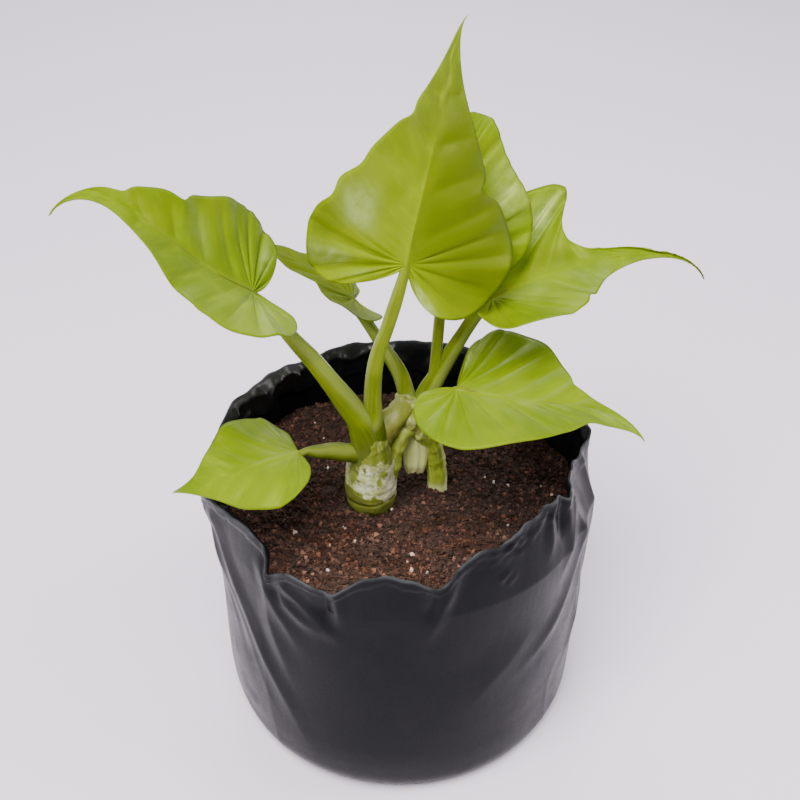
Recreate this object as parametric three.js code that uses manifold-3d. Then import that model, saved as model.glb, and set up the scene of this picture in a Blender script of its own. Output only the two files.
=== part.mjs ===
// A young golden selloum philodendron in a black film nursery bag.
// Millimetres, +Z up. The origin is the middle of the bag's underside, on the surface it stands on,
// and the plant's front is towards -Y.

import * as THREE from 'three';
import { mergeVertices } from 'three/addons/utils/BufferGeometryUtils.js';
import Module from 'manifold-3d';

const wasm = await Module();
wasm.setup();

// Gap kept between neighbours that touch on the plant, and the size of sliver that is dropped.
const gap = 0.3;
const sliver = 0.01;

// The bag: a film pouch, blown out by the soil to a rounded drum with a gathered rim.
const bag = {
  wall: 1.0,
  floor: 1.2,
  sides: 72,
  profile: [
    [52.5, 0], [55.4, 1.2], [57.4, 4.5], [58.4, 12], [58.7, 26], [58.6, 44], [58.6, 62], [58.8, 78],
  ],
  bulge: { height: 0.5, count: 3, turn: 40, full: 20 },
};

// The bag's rim going round, as [azimuth in degrees, radius, height]. It is drawn in and pinched
// low where the film is gathered, and stands up in a scallop between two pinches.
const rim = [
  [-163, 61.5, 89], [-155, 60, 92], [-148, 58.5, 92.5], [-138, 58, 93], [-131, 58, 91],
  [-128, 60, 84], [-121, 60, 88], [-116, 60, 88], [-109.5, 60.5, 85], [-104, 59.5, 89.5],
  [-99, 59, 93], [-94, 58.5, 94], [-87.5, 58.5, 92.5], [-80, 59.5, 88.5], [-75, 57, 93.5],
  [-67.5, 56, 96.5], [-61.5, 56, 96], [-53, 54.5, 98], [-42, 54, 99], [-36, 54, 99],
  [-31, 57, 96], [-22, 53.5, 95], [-12, 52.5, 94], [-2, 54.5, 92], [7, 60, 93],
  [20, 60.5, 90], [34, 59.5, 92.5], [52, 60.5, 90], [66, 60, 92.5], [80, 60.5, 92],
  [100, 60.5, 92], [108, 60.5, 92.5], [117, 60, 91], [125, 60.5, 90], [131, 59.5, 92],
  [148, 60, 91], [156, 60, 91.5], [166, 59.5, 88], [180, 59.5, 87], [189, 60, 86],
];

// The potting mix: a plug that fills the bag, with a slightly heaped and uneven top. Its side stops
// a little below the top, and the top's edge stands in from the film.
const mix = { height: 71.5, heap: 1.2, lump: 0.7, rings: 7, sides: 36, sideDrop: 4, edgeInset: 0.3 };

// Stems, as [x, y, z, radius] going up. The thick one is the old stem, the thin one its side shoot.
const stemSides = 12;
const strutSides = 6;
const mainStem = [
  [-8.8, -2.6, 52, 6.6], [-8.9, -2.6, 64, 7.7], [-9, -2.8, 72, 8.1], [-9, -3.2, 79, 8.1],
  [-9, -4.2, 86, 7.8], [-8.9, -5.4, 92, 7.4], [-8.8, -6.6, 97, 6.9], [-8.8, -7.4, 103, 5.8],
  [-8.8, -7.8, 108, 4], [-8.7, -7.9, 111.5, 2],
];
const strut = [[-1.8, -4.8, 84.5, 1.7], [-0.4, -3.9, 89.5, 1.6], [0.1, -2.8, 95, 1.7], [0.8, -1.2, 100, 1.6]];
const shoot = [
  [12.2, 4.2, 54, 2.6], [12, 4, 72, 3.1], [11.4, 3.9, 82, 3.1], [9.6, 3.8, 91, 3.4],
  [6.5, 3.7, 97.5, 4.8], [3.2, 3.8, 101.5, 5.4], [1.2, 4.4, 105, 4.2], [0.6, 5, 108, 2],
];

// The dry leaf base beside the side shoot: a thin bowed flap.
const papery = { top: [7.6, 1.6, 94], bottom: [4.6, 1.4, 80.6], width: 6.4, thick: 1.0, bow: 0.6 };

// Leaves. Each has its stalk, as [x, y, z, radius] from the stem to the blade, and its blade:
// heading, climb and their change along the midrib place the midrib, in degrees and millimetres;
// [left, right] pairs shape the two halves, seen from above with the tip ahead.
// A wave is a scallop of the margin: which half, how far round from the tip, its spread, the share
// of the half width it takes away, and how far it lifts.
const leaves = {
  leaf_left: {
    stalk: [[-8.2, -7.6, 101, 3.8], [-10.8, -8, 106.5, 3.7], [-16, -8.9, 116, 3.3], [-23.9, -9.6, 129.4, 2.7],
      [-29.5, -10.1, 137.7, 2.4], [-34.8, -10.4, 146, 2.2]],
    heading: 198, sweep: -1, tipSweep: 10, climb: 34, droop: 49, tipDroop: -138, roll: 0, twist: -39,
    length: 62, width: [27.5, 27], fold: [4, 27], curl: [0, 0],
    tip: [0.53, 0.38], shoulder: [0.35, 0.2], wide: [0.1, 0.08],
    lobe: [0.17, 0.115], lobeAt: [0.3, 0.6], lobeBend: [0, 0],
    waves: [['right', 0.285, 0.025, 0.16, 1], ['right', 0.11, 0.02, 0.18, 0.5],
      ['left', 0.369, 0.03, 0.06, -1]],
  },
  leaf_centre: {
    stalk: [[-8.4, -7.7, 101, 3.4], [-8.4, -7.6, 108.6, 3], [-7.9, -7.4, 117, 2.6], [-6.6, -6.9, 129, 2.2],
      [-3.4, -5.9, 139, 1.9], [-0.4, -4.8, 149, 1.7]],
    heading: 46, sweep: 62, tipSweep: -43, climb: 77, droop: -68, tipDroop: 0, roll: 50, twist: -5,
    length: 80.5, width: [32, 33.5], fold: [12, 3], curl: [12, -35],
    tip: [0.58, 0.48], shoulder: [0.14, 0.22], wide: [0.12, 0.1],
    lobe: [0.07, 0.19], lobeAt: [0.54, 0.48], lobeBend: [0, 0],
    waves: [['left', 0.253, 0.02, 0.1, 0.6], ['left', 0.4, 0.03, 0.04, 0.8], ['left', 0.5, 0.03, 0.04, 0.8],
      ['right', 0.381, 0.025, 0.2, 1]],
  },
  leaf_right: {
    stalk: [[6.4, 5, 103, 3.4], [8.8, 6.8, 108.5, 3.2], [12.1, 8.9, 114, 2.6], [18.7, 11, 125.8, 2.2],
      [23.6, 13.2, 132.8, 2.1]],
    heading: 18, sweep: -18, tipSweep: 19, climb: 16, droop: -8, tipDroop: -73, roll: 11, twist: 15,
    length: 73, width: [26.8, 25], fold: [16, 9], curl: [22, 24],
    tip: [1.15, 0.8], shoulder: [0.37, 0.36], wide: [0.32, 0.15],
    lobe: [0.06, 0.13], lobeAt: [0.5, 0.5], lobeBend: [40, 60],
    waves: [['left', 0.1, 0.03, 0.06, 1], ['right', 0.4, 0.04, 0.05, 1]],
  },
  leaf_front_right: {
    stalk: [[6.6, 1.6, 100.5, 2.6], [10, -0.6, 105, 2.3], [13.4, -2.1, 110.4, 2]],
    heading: -18, sweep: 3, tipSweep: -55, climb: -5, droop: 30, tipDroop: -48, roll: 5, twist: -6,
    length: 58.5, width: [26.2, 25.2], fold: [9, 7], curl: [6, -11],
    tip: [0.62, 0.05], shoulder: [0.43, 0.36], wide: [0.16, 0.07],
    lobe: [0.02, 0.16], lobeAt: [0.52, 0.4], lobeBend: [0, 0],
    waves: [['left', 0.22, 0.03, 0.12, 0.8], ['right', 0.24, 0.03, 0.04, 0.5]],
  },
  leaf_small_left: {
    stalk: [[-13.2, -9.6, 97.4, 2.6], [-19, -12.5, 99.9, 2.2], [-24.6, -15, 101.9, 1.7]],
    heading: 203, sweep: -16, tipSweep: -83, climb: -2, droop: -30, tipDroop: -10, roll: 12, twist: -60,
    length: 44.6, width: [17.3, 20], fold: [4, 6], curl: [-22, -2],
    tip: [0.52, 0.47], shoulder: [0.37, 0.45], wide: [0.15, 0.17],
    lobe: [0.01, 0.01], lobeAt: [0.47, 0.47], lobeBend: [0, 0],
    waves: [['right', 0.275, 0.03, 0.02, 0.4]],
  },
  leaf_behind: {
    stalk: [[8.6, 6.4, 104, 2.4], [10.4, 8.2, 112, 2], [11.1, 11.2, 121, 1.7], [12, 15, 132, 1.6]],
    heading: 62, sweep: 25, tipSweep: -10, climb: 76, droop: -22, tipDroop: -25, roll: 26, twist: 0,
    length: 48, width: [19, 23], fold: [-30, 3], curl: [-20, 0],
    tip: [0.45, 0.12], shoulder: [0.3, 0.36], wide: [0.12, 0.24],
    lobe: [0.06, 0.1], lobeAt: [0.5, 0.5], lobeBend: [0, 0],
    waves: [['right', 0.22, 0.04, 0.05, 1]],
  },
  leaf_back_left: {
    stalk: [[2.6, 6.4, 105, 3.2], [0, 9.4, 112.6, 3], [-5, 14, 119.4, 2.4], [-10.6, 19.6, 125.8, 2]],
    heading: 166, sweep: 0, tipSweep: 0, climb: 38, droop: -32, tipDroop: -20, roll: 21, twist: 0,
    length: 50, width: [18, 19], fold: [0, 2], curl: [0, 5],
    tip: [0.5, 0.5], shoulder: [0.3, 0.3], wide: [0.12, 0.12],
    lobe: [0.2, 0.03], lobeAt: [0.45, 0.5], lobeBend: [35, 0],
    waves: [['left', 0.5, 0.05, 0.06, 1]],
  },
};

// Where each blade joins its stalk: the back of the midrib, at the sinus between the lobes.
const sinus = {
  leaf_left: [-39.3, -10.7, 152.7],
  leaf_centre: [2, -2.5, 156.5],
  leaf_right: [27.1, 14.7, 136.4],
  leaf_front_right: [16.7, -2.7, 115.8],
  leaf_small_left: [-29.3, -17.6, 103.8],
  leaf_behind: [14.5, 19, 147],
  leaf_back_left: [-14.3, 24, 130.6],
};

const bladeThick = 0.9;
const stalkSides = 8;

// The stalk goes on under the midrib as a rib: [share of the length, share of the stalk's radius].
const rib = [[0, 0.8], [0.08, 0.62], [0.2, 0.42], [0.34, 0.26]];

// The margin is measured from 0 at the tip, by these marks, to 1 at the sinus.
const widestMark = 0.6;
const lobeMark = 0.85;
const marginSteps = [10, 4, 3];
const closestMarks = 0.012;
const columns = 3;
const midribSteps = 60;

// Veins start on the midrib as far as this mark, and all from the sinus beyond it.
const fanMark = 0.48;
const fanPower = 1.2;
const ripple = { height: 0.45, count: 5 };

const plain = (color, roughness) => new THREE.MeshStandardMaterial({ color, roughness, metalness: 0 });
const materials = {
  film: plain(0x2c2d31, 0.38),
  mix: plain(0x33211c, 0.95),
  bark: plain(0xb9bd93, 0.75),
  shoot: plain(0x939c3a, 0.6),
  leaf: plain(0xaabc12, 0.45),
  shadedLeaf: plain(0x96a30f, 0.45),
};

const radians = THREE.MathUtils.degToRad;

// One closed body from points and triangles: equal points are joined and flat triangles dropped.
function surface(points, triangles) {
  let geometry = new THREE.BufferGeometry();
  const numbers = points.flatMap((point) => point.toArray());
  geometry.setAttribute('position', new THREE.Float32BufferAttribute(numbers, 3));
  geometry.setIndex(triangles.flat());
  geometry = mergeVertices(geometry, 1e-3);
  const index = geometry.index.array;
  const kept = [];
  for (let i = 0; i < index.length; i += 3) {
    const [a, b, c] = [index[i], index[i + 1], index[i + 2]];
    if (a !== b && b !== c && c !== a) kept.push(a, b, c);
  }
  geometry.setIndex(kept);
  return geometry;
}

function toSolid(geometry) {
  return new wasm.Manifold(new wasm.Mesh({
    numProp: 3,
    vertProperties: new Float32Array(geometry.attributes.position.array),
    triVerts: new Uint32Array(geometry.index.array),
  }));
}

// The largest body of a solid, without the slivers and tiny edges that a cut leaves.
function toGeometry(solid) {
  const bodies = solid.asOriginal().simplify(sliver).decompose();
  const largest = bodies.reduce((a, b) => (a.volume() > b.volume() ? a : b));
  const mesh = largest.getMesh();
  const geometry = new THREE.BufferGeometry();
  geometry.setAttribute('position', new THREE.BufferAttribute(new Float32Array(mesh.vertProperties), 3));
  geometry.setIndex(new THREE.BufferAttribute(new Uint32Array(mesh.triVerts), 1));
  return geometry;
}

// A body through closed rings of points, each ring anticlockwise seen from the far end.
function loft(rings) {
  const points = rings.flat();
  const count = rings[0].length;
  const triangles = [];
  for (let i = 0; i + 1 < rings.length; i += 1) {
    for (let j = 0; j < count; j += 1) {
      const next = (j + 1) % count;
      const [a, b, c, d] = [i * count + j, i * count + next, (i + 1) * count + j, (i + 1) * count + next];
      triangles.push([a, b, d], [a, d, c]);
    }
  }
  const middle = (ring) => ring.reduce((sum, p) => sum.add(p), new THREE.Vector3()).divideScalar(count);
  const first = points.push(middle(rings[0])) - 1;
  const last = points.push(middle(rings[rings.length - 1])) - 1;
  const start = (rings.length - 1) * count;
  for (let j = 0; j < count; j += 1) {
    const next = (j + 1) % count;
    triangles.push([first, next, j], [last, start + j, start + next]);
  }
  return surface(points, triangles);
}

// A round stalk through stations [x, y, z, radius], with its section carried along without twist.
// An extra makes it wider all round and longer at both ends.
function stalkBody(stations, sides, extra = 0) {
  const points = stations.map(([x, y, z]) => new THREE.Vector3(x, y, z));
  const last = points.length - 1;
  const [footWay, headWay] = [[0, 1], [last, last - 1]].map(([end, next]) => (
    points[end].clone().sub(points[next]).setLength(extra)));
  points[0].add(footWay);
  points[last].add(headWay);
  const radii = stations.map(([, , , radius]) => radius + extra);
  const curve = new THREE.CatmullRomCurve3(points, false, 'centripetal');
  const steps = (stations.length - 1) * 2;
  const rings = [];
  let side = new THREE.Vector3(0, -1, 0);
  for (let i = 0; i <= steps; i += 1) {
    const share = i / steps;
    const along = curve.getTangent(share);
    side = side.clone().addScaledVector(along, -side.dot(along)).normalize();
    const up = new THREE.Vector3().crossVectors(along, side);
    const at = share * (stations.length - 1);
    const low = Math.min(Math.floor(at), stations.length - 2);
    const radius = THREE.MathUtils.lerp(radii[low], radii[low + 1], at - low);
    rings.push(Array.from({ length: sides }, (unused, j) => {
      const angle = (2 * Math.PI * j) / sides;
      return curve.getPoint(share).addScaledVector(side, radius * Math.cos(angle))
        .addScaledVector(up, radius * Math.sin(angle));
    }));
  }
  return loft(rings);
}

const pick = (value, half) => value[half === 'left' ? 0 : 1];

function cubic(p, t) {
  const s = 1 - t;
  const weights = [s * s * s, 3 * s * s * t, 3 * s * t * t, t * t * t];
  return [0, 1].map((k) => weights.reduce((sum, weight, i) => sum + weight * p[i][k], 0));
}

// A half outline at a mark, as [share of the length, share of the half width]: three cubic curves,
// from the tip to the widest place, round the lobe's back, and in to the sinus.
function outline(leaf, half, mark) {
  const [tip, shoulder, wide] = [pick(leaf.tip, half), pick(leaf.shoulder, half), pick(leaf.wide, half)];
  const [lobe, lobeAt] = [pick(leaf.lobe, half), pick(leaf.lobeAt, half)];
  if (mark <= widestMark) {
    return cubic([[1, 0], [1 - tip, 0], [wide + shoulder, 1], [wide, 1]], mark / widestMark);
  }
  if (mark <= lobeMark) {
    const reach = (wide + lobe) / 2;
    const round = lobeAt + 0.55 * (1 - lobeAt);
    return cubic([[wide, 1], [wide - reach, 1], [-lobe, round], [-lobe, lobeAt]],
      (mark - widestMark) / (lobeMark - widestMark));
  }
  return cubic([[-lobe, lobeAt], [-lobe, 0.45 * lobeAt], [-0.45 * lobe, 0.02], [0, 0]],
    (mark - lobeMark) / (1 - lobeMark));
}

// The midrib's frame at even steps: centre, the way to the left half, and the way up from the face.
function midribFrames(leaf, base) {
  const frames = [];
  const centre = new THREE.Vector3(...base);
  let before = null;
  for (let i = 0; i <= midribSteps; i += 1) {
    const a = i / midribSteps;
    const heading = radians(leaf.heading + leaf.sweep * a + leaf.tipSweep * a ** 4);
    const climb = radians(leaf.climb + leaf.droop * a + leaf.tipDroop * a ** 4);
    const roll = radians(leaf.roll + leaf.twist * a);
    const along = new THREE.Vector3(
      Math.cos(climb) * Math.cos(heading), Math.cos(climb) * Math.sin(heading), Math.sin(climb));
    const level = new THREE.Vector3(-Math.sin(heading), Math.cos(heading), 0);
    const over = new THREE.Vector3().crossVectors(along, level);
    if (before) centre.addScaledVector(before.clone().add(along), (0.5 * leaf.length) / midribSteps);
    frames.push({
      centre: centre.clone(),
      along,
      left: level.clone().multiplyScalar(Math.cos(roll)).addScaledVector(over, Math.sin(roll)),
      up: over.clone().multiplyScalar(Math.cos(roll)).addScaledVector(level, -Math.sin(roll)),
    });
    before = along;
  }
  return frames;
}

function frameAt(frames, a) {
  const at = THREE.MathUtils.clamp(a, 0, 1) * midribSteps;
  const low = Math.min(Math.floor(at), midribSteps - 1);
  const between = (name) => frames[low][name].clone().lerp(frames[low + 1][name], at - low);
  return { centre: between('centre'), left: between('left'), up: between('up') };
}

// A point of the blade's upper face. Each mark has a vein from the midrib out to the margin, and
// reach goes from 0 on the midrib to 1 at the margin. A half is folded up from the midrib by an
// angle and curls further towards its margin; a lobe bends away behind the sinus.
function bladePoint(leaf, frames, half, mark, reach) {
  const [edgeAlong, edgeAcross] = outline(leaf, half, mark);
  const width = pick(leaf.width, half);
  const start = Math.max(0, 1 - mark / fanMark) ** fanPower;
  let scale = 1;
  let lift = ripple.height * Math.sin(2 * Math.PI * ripple.count * mark) * Math.sin(Math.PI * mark);
  for (const [which, at, spread, cut, rise] of leaf.waves) {
    const bump = which === half ? Math.exp(-(((mark - at) / spread) ** 2)) : 0;
    scale *= 1 - cut * bump;
    lift += rise * bump;
  }
  const a = start + (edgeAlong - start) * scale * reach;
  const across = edgeAcross * width * scale * reach;
  const frame = frameAt(frames, a);
  const point = frame.centre;
  if (a < 0) {
    const lobe = pick(leaf.lobe, half);
    const bend = radians(pick(leaf.lobeBend, half)) || 1e-6;
    const turn = (bend * -a) / lobe;
    const size = (lobe * leaf.length) / bend;
    point.addScaledVector(frames[0].along, -Math.sin(turn) * size);
    point.addScaledVector(frames[0].up, (1 - Math.cos(turn)) * size);
  }
  const fold = radians(pick(leaf.fold, half));
  const bent = (radians(pick(leaf.curl, half)) || 1e-6) / width;
  const out = (Math.sin(fold + bent * across) - Math.sin(fold)) / bent;
  const up = (Math.cos(fold) - Math.cos(fold + bent * across)) / bent;
  point.addScaledVector(frame.left, half === 'left' ? out : -out);
  return point.addScaledVector(frame.up, up + lift * reach ** 2);
}

// The marks that a blade's rows stand at: even steps, and three more at each scallop.
function rowMarks(leaf) {
  const [tipSteps, sideSteps, backSteps] = marginSteps;
  const steps = (from, to, count) => Array.from({ length: count }, (unused, i) => (
    THREE.MathUtils.lerp(from, to, i / count)));
  const even = [
    ...steps(0, widestMark, tipSteps), ...steps(widestMark, lobeMark, sideSteps),
    ...steps(lobeMark, 1, backSteps), 1,
  ];
  const added = leaf.waves.flatMap(([, at, spread]) => [at - spread, at, at + spread]);
  const clear = (mark) => added.every((other) => Math.abs(other - mark) > closestMarks);
  const spare = even.filter((mark) => mark === 0 || mark === 1 || clear(mark));
  const marks = [...spare, ...added].sort((low, high) => low - high);
  return marks.filter((mark, i) => i === 0 || mark - marks[i - 1] > closestMarks / 2);
}

// The blade as a closed body: the upper face, the same triangles moved down along the normals for
// the underside, and a wall round the margin between them.
function bladeBody(leaf, base) {
  const frames = midribFrames(leaf, base);
  const marks = rowMarks(leaf);
  const across = 2 * columns + 1;
  const points = marks.flatMap((mark) => Array.from({ length: across }, (unused, j) => {
    const half = j > columns ? 'left' : 'right';
    return bladePoint(leaf, frames, half, mark, Math.abs(j - columns) / columns);
  }));
  const triangles = [];
  for (let i = 0; i + 1 < marks.length; i += 1) {
    for (let j = 0; j + 1 < across; j += 1) {
      const near = i * across + j;
      const far = near + across;
      triangles.push([near, near + 1, far + 1], [near, far + 1, far]);
    }
  }
  const face = surface(points, triangles);
  face.computeVertexNormals();
  const upper = face.attributes.position;
  const normal = face.attributes.normal;
  const corners = [];
  for (const depth of [0, bladeThick]) {
    for (let i = 0; i < upper.count; i += 1) {
      const down = new THREE.Vector3().fromBufferAttribute(normal, i);
      corners.push(new THREE.Vector3().fromBufferAttribute(upper, i).addScaledVector(down, -depth));
    }
  }
  const index = face.index.array;
  const count = upper.count;
  const edges = new Set();
  const faces = [];
  for (let i = 0; i < index.length; i += 3) {
    const [a, b, c] = [index[i], index[i + 1], index[i + 2]];
    faces.push([a, b, c], [a + count, c + count, b + count]);
    [[a, b], [b, c], [c, a]].forEach(([from, to]) => edges.add(`${from},${to}`));
  }
  for (const edge of edges) {
    const [from, to] = edge.split(',').map(Number);
    if (!edges.has(`${to},${from}`)) faces.push([from, from + count, to + count], [from, to + count, to]);
  }
  return surface(corners, faces);
}

// The stalk runs into the underside of the midrib, as a rib that thins out towards the tip.
function stalkStations(leaf, base) {
  const frames = midribFrames(leaf, base);
  const last = leaf.stalk[leaf.stalk.length - 1][3];
  return [...leaf.stalk, ...rib.map(([a, share]) => {
    const frame = frameAt(frames, a);
    const radius = last * share;
    const middle = frame.centre.addScaledVector(frame.up, -Math.max(bladeThick * 0.6, radius * 0.7));
    return [...middle.toArray(), radius];
  })];
}

// The bag's rim at an azimuth, straight between its stations.
function rimAt(azimuth) {
  const turn = 360;
  const at = ((azimuth - rim[0][0]) % turn + turn) % turn + rim[0][0];
  const stations = [...rim, [rim[0][0] + turn, rim[0][1], rim[0][2]]];
  const next = stations.findIndex(([angle]) => angle > at);
  const [low, high] = [stations[next - 1], stations[next]];
  const share = (at - low[0]) / (high[0] - low[0]);
  const [radius, height] = [1, 2].map((k) => THREE.MathUtils.lerp(low[k], high[k], share));
  return { radius, height };
}

function ring(radiusAt, heightAt, sides) {
  return Array.from({ length: sides }, (unused, j) => {
    const azimuth = (360 * j) / sides;
    const radius = radiusAt(azimuth);
    return new THREE.Vector3(
      radius * Math.cos(radians(azimuth)), radius * Math.sin(radians(azimuth)), heightAt(azimuth));
  });
}

// How far the wall swells out at an azimuth, above the rounded foot.
function bulge(azimuth, height) {
  const swell = bag.bulge.height * Math.sin(radians(bag.bulge.count * azimuth + bag.bulge.turn));
  return swell * Math.min(1, height / bag.bulge.full);
}

const [wallRadius, wallTop] = bag.profile[bag.profile.length - 1];

// One ring of the straight wall, and one of the lip that goes on from it up to the uneven rim.
const wallRing = ([radius, height], inset, lowest, sides) => ring(
  (azimuth) => radius - inset + bulge(azimuth, height), () => Math.max(height, lowest), sides);
function lipRing(share, inset) {
  const { lerp } = THREE.MathUtils;
  return ring(
    (azimuth) => lerp(wallRadius + bulge(azimuth, wallTop), rimAt(azimuth).radius, share) - inset,
    (azimuth) => lerp(wallTop, rimAt(azimuth).height, share), bag.sides);
}

function bagBody() {
  const outer = bag.profile.map((station) => wallRing(station, 0, 0, bag.sides));
  const inner = bag.profile.slice(1).map((station) => wallRing(station, bag.wall, bag.floor, bag.sides));
  const lip = [lipRing(0.5, 0), lipRing(1, 0), lipRing(1, bag.wall), lipRing(0.5, bag.wall)];
  return loft([...outer, ...lip, ...inner.reverse()]);
}

// The height of the potting mix's top: a low heap with lumps.
function mixTop(x, y) {
  const out = Math.hypot(x, y) / wallRadius;
  const small = Math.sin(x * 0.31 + 1.3) * Math.sin(y * 0.27 - 0.6);
  const broad = 0.6 * Math.sin(x * 0.12 - y * 0.17 + 2);
  return mix.height + mix.heap * (1 - out ** 2) + mix.lump * (small + broad);
}

function mixBody() {
  const inset = bag.wall + gap;
  const levels = bag.profile.slice(1).filter(([, height]) => height < mix.height - mix.sideDrop);
  const side = levels.map((station) => wallRing(station, inset, bag.floor + gap, mix.sides));
  const edge = (azimuth) => wallRadius - inset - mix.edgeInset + bulge(azimuth, mix.height);
  const top = Array.from({ length: mix.rings }, (unused, i) => {
    const flat = ring((azimuth) => edge(azimuth) * (1 - i / mix.rings), () => 0, mix.sides);
    return flat.map((point) => point.setZ(mixTop(point.x, point.y)));
  });
  return loft([...side, ...top]);
}

// The papery flap: widest at mid height, its section a thin strip bowed towards the front.
function paperyBody() {
  const [top, bottom] = [new THREE.Vector3(...papery.top), new THREE.Vector3(...papery.bottom)];
  const { thick, bow } = papery;
  const section = [[-1, 0], [0, -bow], [1, 0], [1, thick], [0, thick - bow], [-1, thick]];
  return loft([0, 0.35, 0.7, 1].map((share) => {
    const middle = bottom.clone().lerp(top, share);
    const reach = (papery.width / 2) * (0.75 + 0.25 * Math.sin(Math.PI * share));
    return section.map(([x, y]) => middle.clone().add(new THREE.Vector3(x * reach, y, 0)));
  }));
}

function named(name, geometry, material) {
  geometry.computeVertexNormals();
  const mesh = new THREE.Mesh(geometry, material);
  mesh.name = name;
  return mesh;
}

const mainBody = toSolid(stalkBody(mainStem, stemSides));
const mainWide = toSolid(stalkBody(mainStem, stemSides, gap));
const shootRound = toSolid(stalkBody(shoot, stemSides, gap));
const strutBody = toSolid(stalkBody(strut, strutSides)).subtract(shootRound);
const shootBody = toSolid(stalkBody(shoot, stemSides)).add(toSolid(paperyBody())).subtract(mainWide);
const mixPlug = toSolid(mixBody()).subtract(mainWide.add(shootRound));

const part = new THREE.Group();
part.name = 'potted_philodendron';
part.add(named('nursery_bag', bagBody(), materials.film));
part.add(named('potting_mix', toGeometry(mixPlug), materials.mix));
part.add(named('main_stem', toGeometry(mainBody.add(strutBody)), materials.bark));
part.add(named('side_shoot', toGeometry(shootBody), materials.shoot));

// Each leaf is cut clear of the stems and of the stalks before it.
let taken = mainWide.add(shootRound).add(toSolid(stalkBody(strut, strutSides, gap)));
for (const [name, leaf] of Object.entries(leaves)) {
  const stalk = toSolid(stalkBody(stalkStations(leaf, sinus[name]), stalkSides));
  const body = stalk.add(toSolid(bladeBody(leaf, sinus[name]))).subtract(taken);
  const shaded = name === 'leaf_centre' || name === 'leaf_back_left';
  part.add(named(name, toGeometry(body), shaded ? materials.shadedLeaf : materials.leaf));
  taken = taken.add(toSolid(stalkBody(leaf.stalk, stalkSides, gap)));
}

export default part;
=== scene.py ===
# A young golden philodendron in a black film nursery bag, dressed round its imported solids.
# Lengths are in millimetres until a mesh is made. +Z is up and the photographed side faces -Y.

import math

import bpy
import numpy as np
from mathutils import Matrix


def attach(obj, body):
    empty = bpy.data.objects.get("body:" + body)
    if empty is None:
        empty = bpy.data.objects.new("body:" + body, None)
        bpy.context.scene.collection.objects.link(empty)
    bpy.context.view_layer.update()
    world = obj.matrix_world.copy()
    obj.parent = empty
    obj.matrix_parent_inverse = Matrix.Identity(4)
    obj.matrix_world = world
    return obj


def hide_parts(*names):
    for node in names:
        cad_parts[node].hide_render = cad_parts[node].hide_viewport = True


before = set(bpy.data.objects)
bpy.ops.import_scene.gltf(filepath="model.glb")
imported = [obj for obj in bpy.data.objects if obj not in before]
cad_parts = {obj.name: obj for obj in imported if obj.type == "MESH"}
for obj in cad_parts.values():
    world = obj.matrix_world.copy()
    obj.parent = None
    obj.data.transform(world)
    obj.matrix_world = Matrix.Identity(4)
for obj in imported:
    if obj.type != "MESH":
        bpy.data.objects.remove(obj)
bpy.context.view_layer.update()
mm = 0.001
print("frame loaded")


# The same vectors with length 1.
def unit(vectors):
    return vectors / np.maximum(np.linalg.norm(vectors, axis=-1, keepdims=True), 1e-9)


# A step from 0 at low to 1 at high that starts and ends level: 3t^2 - 2t^3.
def smooth(low, high, x):
    t = np.clip((x - low) / (high - low), 0, 1)
    return t * t * (3 - 2 * t)


# A bell: e to the minus square of the distance over the spread.
def bell(distance, spread):
    return np.exp(-(distance / spread) ** 2)


# A smooth random field of about -1 to 1: sine waves near size long, in seeded directions, added up.
def randomField(points, size, seed, waves=14):
    draw = np.random.default_rng(seed)
    ways = unit(draw.normal(size=(waves, points.shape[-1])))
    turns = 2 * np.pi / (size * draw.uniform(0.7, 1.5, waves))
    shifts = draw.uniform(0, 2 * np.pi, waves)
    return np.sin(points @ (ways * turns[:, None]).T + shifts).sum(-1) * 0.9 / np.sqrt(waves)


# Quads over a grid of points counted row by row. wrap joins the last column to the first.
def gridQuads(rows, columns, wrap=False):
    i, j = np.meshgrid(np.arange(rows - 1), np.arange(columns if wrap else columns - 1), indexing="ij")
    k = (j + 1) % columns
    near, far = i * columns, (i + 1) * columns
    return np.stack([near + j, near + k, far + k, far + j], -1).reshape(-1, 4)


# The faces of a closed form: a wrapped grid's quads, and fans that close its ends. The middles of the
# first and of the last end come after the grid's points.
def closedFaces(rows, columns):
    j = np.arange(columns)
    k, last = (j + 1) % columns, (rows - 1) * columns
    first, end = np.full(columns, rows * columns), np.full(columns, rows * columns + 1)
    return [gridQuads(rows, columns, wrap=True),
            np.vstack([np.stack([first, k, j], -1), np.stack([end, last + j, last + k], -1)])]


# Points round +Z: radius times the cosine and the sine of the azimuth in degrees, and a height if given.
def polar(radius, azimuth, *height):
    angle = np.radians(azimuth)
    return np.stack(np.broadcast_arrays(radius * np.cos(angle), radius * np.sin(angle), *height), -1)


# Sharp ridges where a random field crosses zero: e to the minus of the field's size over sharp.
def ridges(points, size, sharp, seed):
    return np.exp(-np.abs(randomField(points, size, seed)) / sharp)


# A part with its equal points joined, and each quad that this closes on one side made a triangle.
def weld(part):
    keys = np.round(part["points"] / 0.004).astype(np.int64)
    first, same = np.unique(keys, axis=0, return_index=True, return_inverse=True)[1:]
    quads = same.reshape(-1)[part["faces"][0]]
    repeat = quads == np.roll(quads, -1, axis=1)
    whole = quads[repeat.sum(1) == 0]
    halved = repeat.sum(1) == 1
    start = np.argmax(repeat[halved], axis=1)
    order = (start[:, None] + np.array([1, 2, 3])) % 4
    triangles = np.take_along_axis(quads[halved], order, axis=1)
    values = {name: value[first] for name, value in part["values"].items()}
    return {"points": part["points"][first], "faces": [whole, triangles], "values": values}


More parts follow.
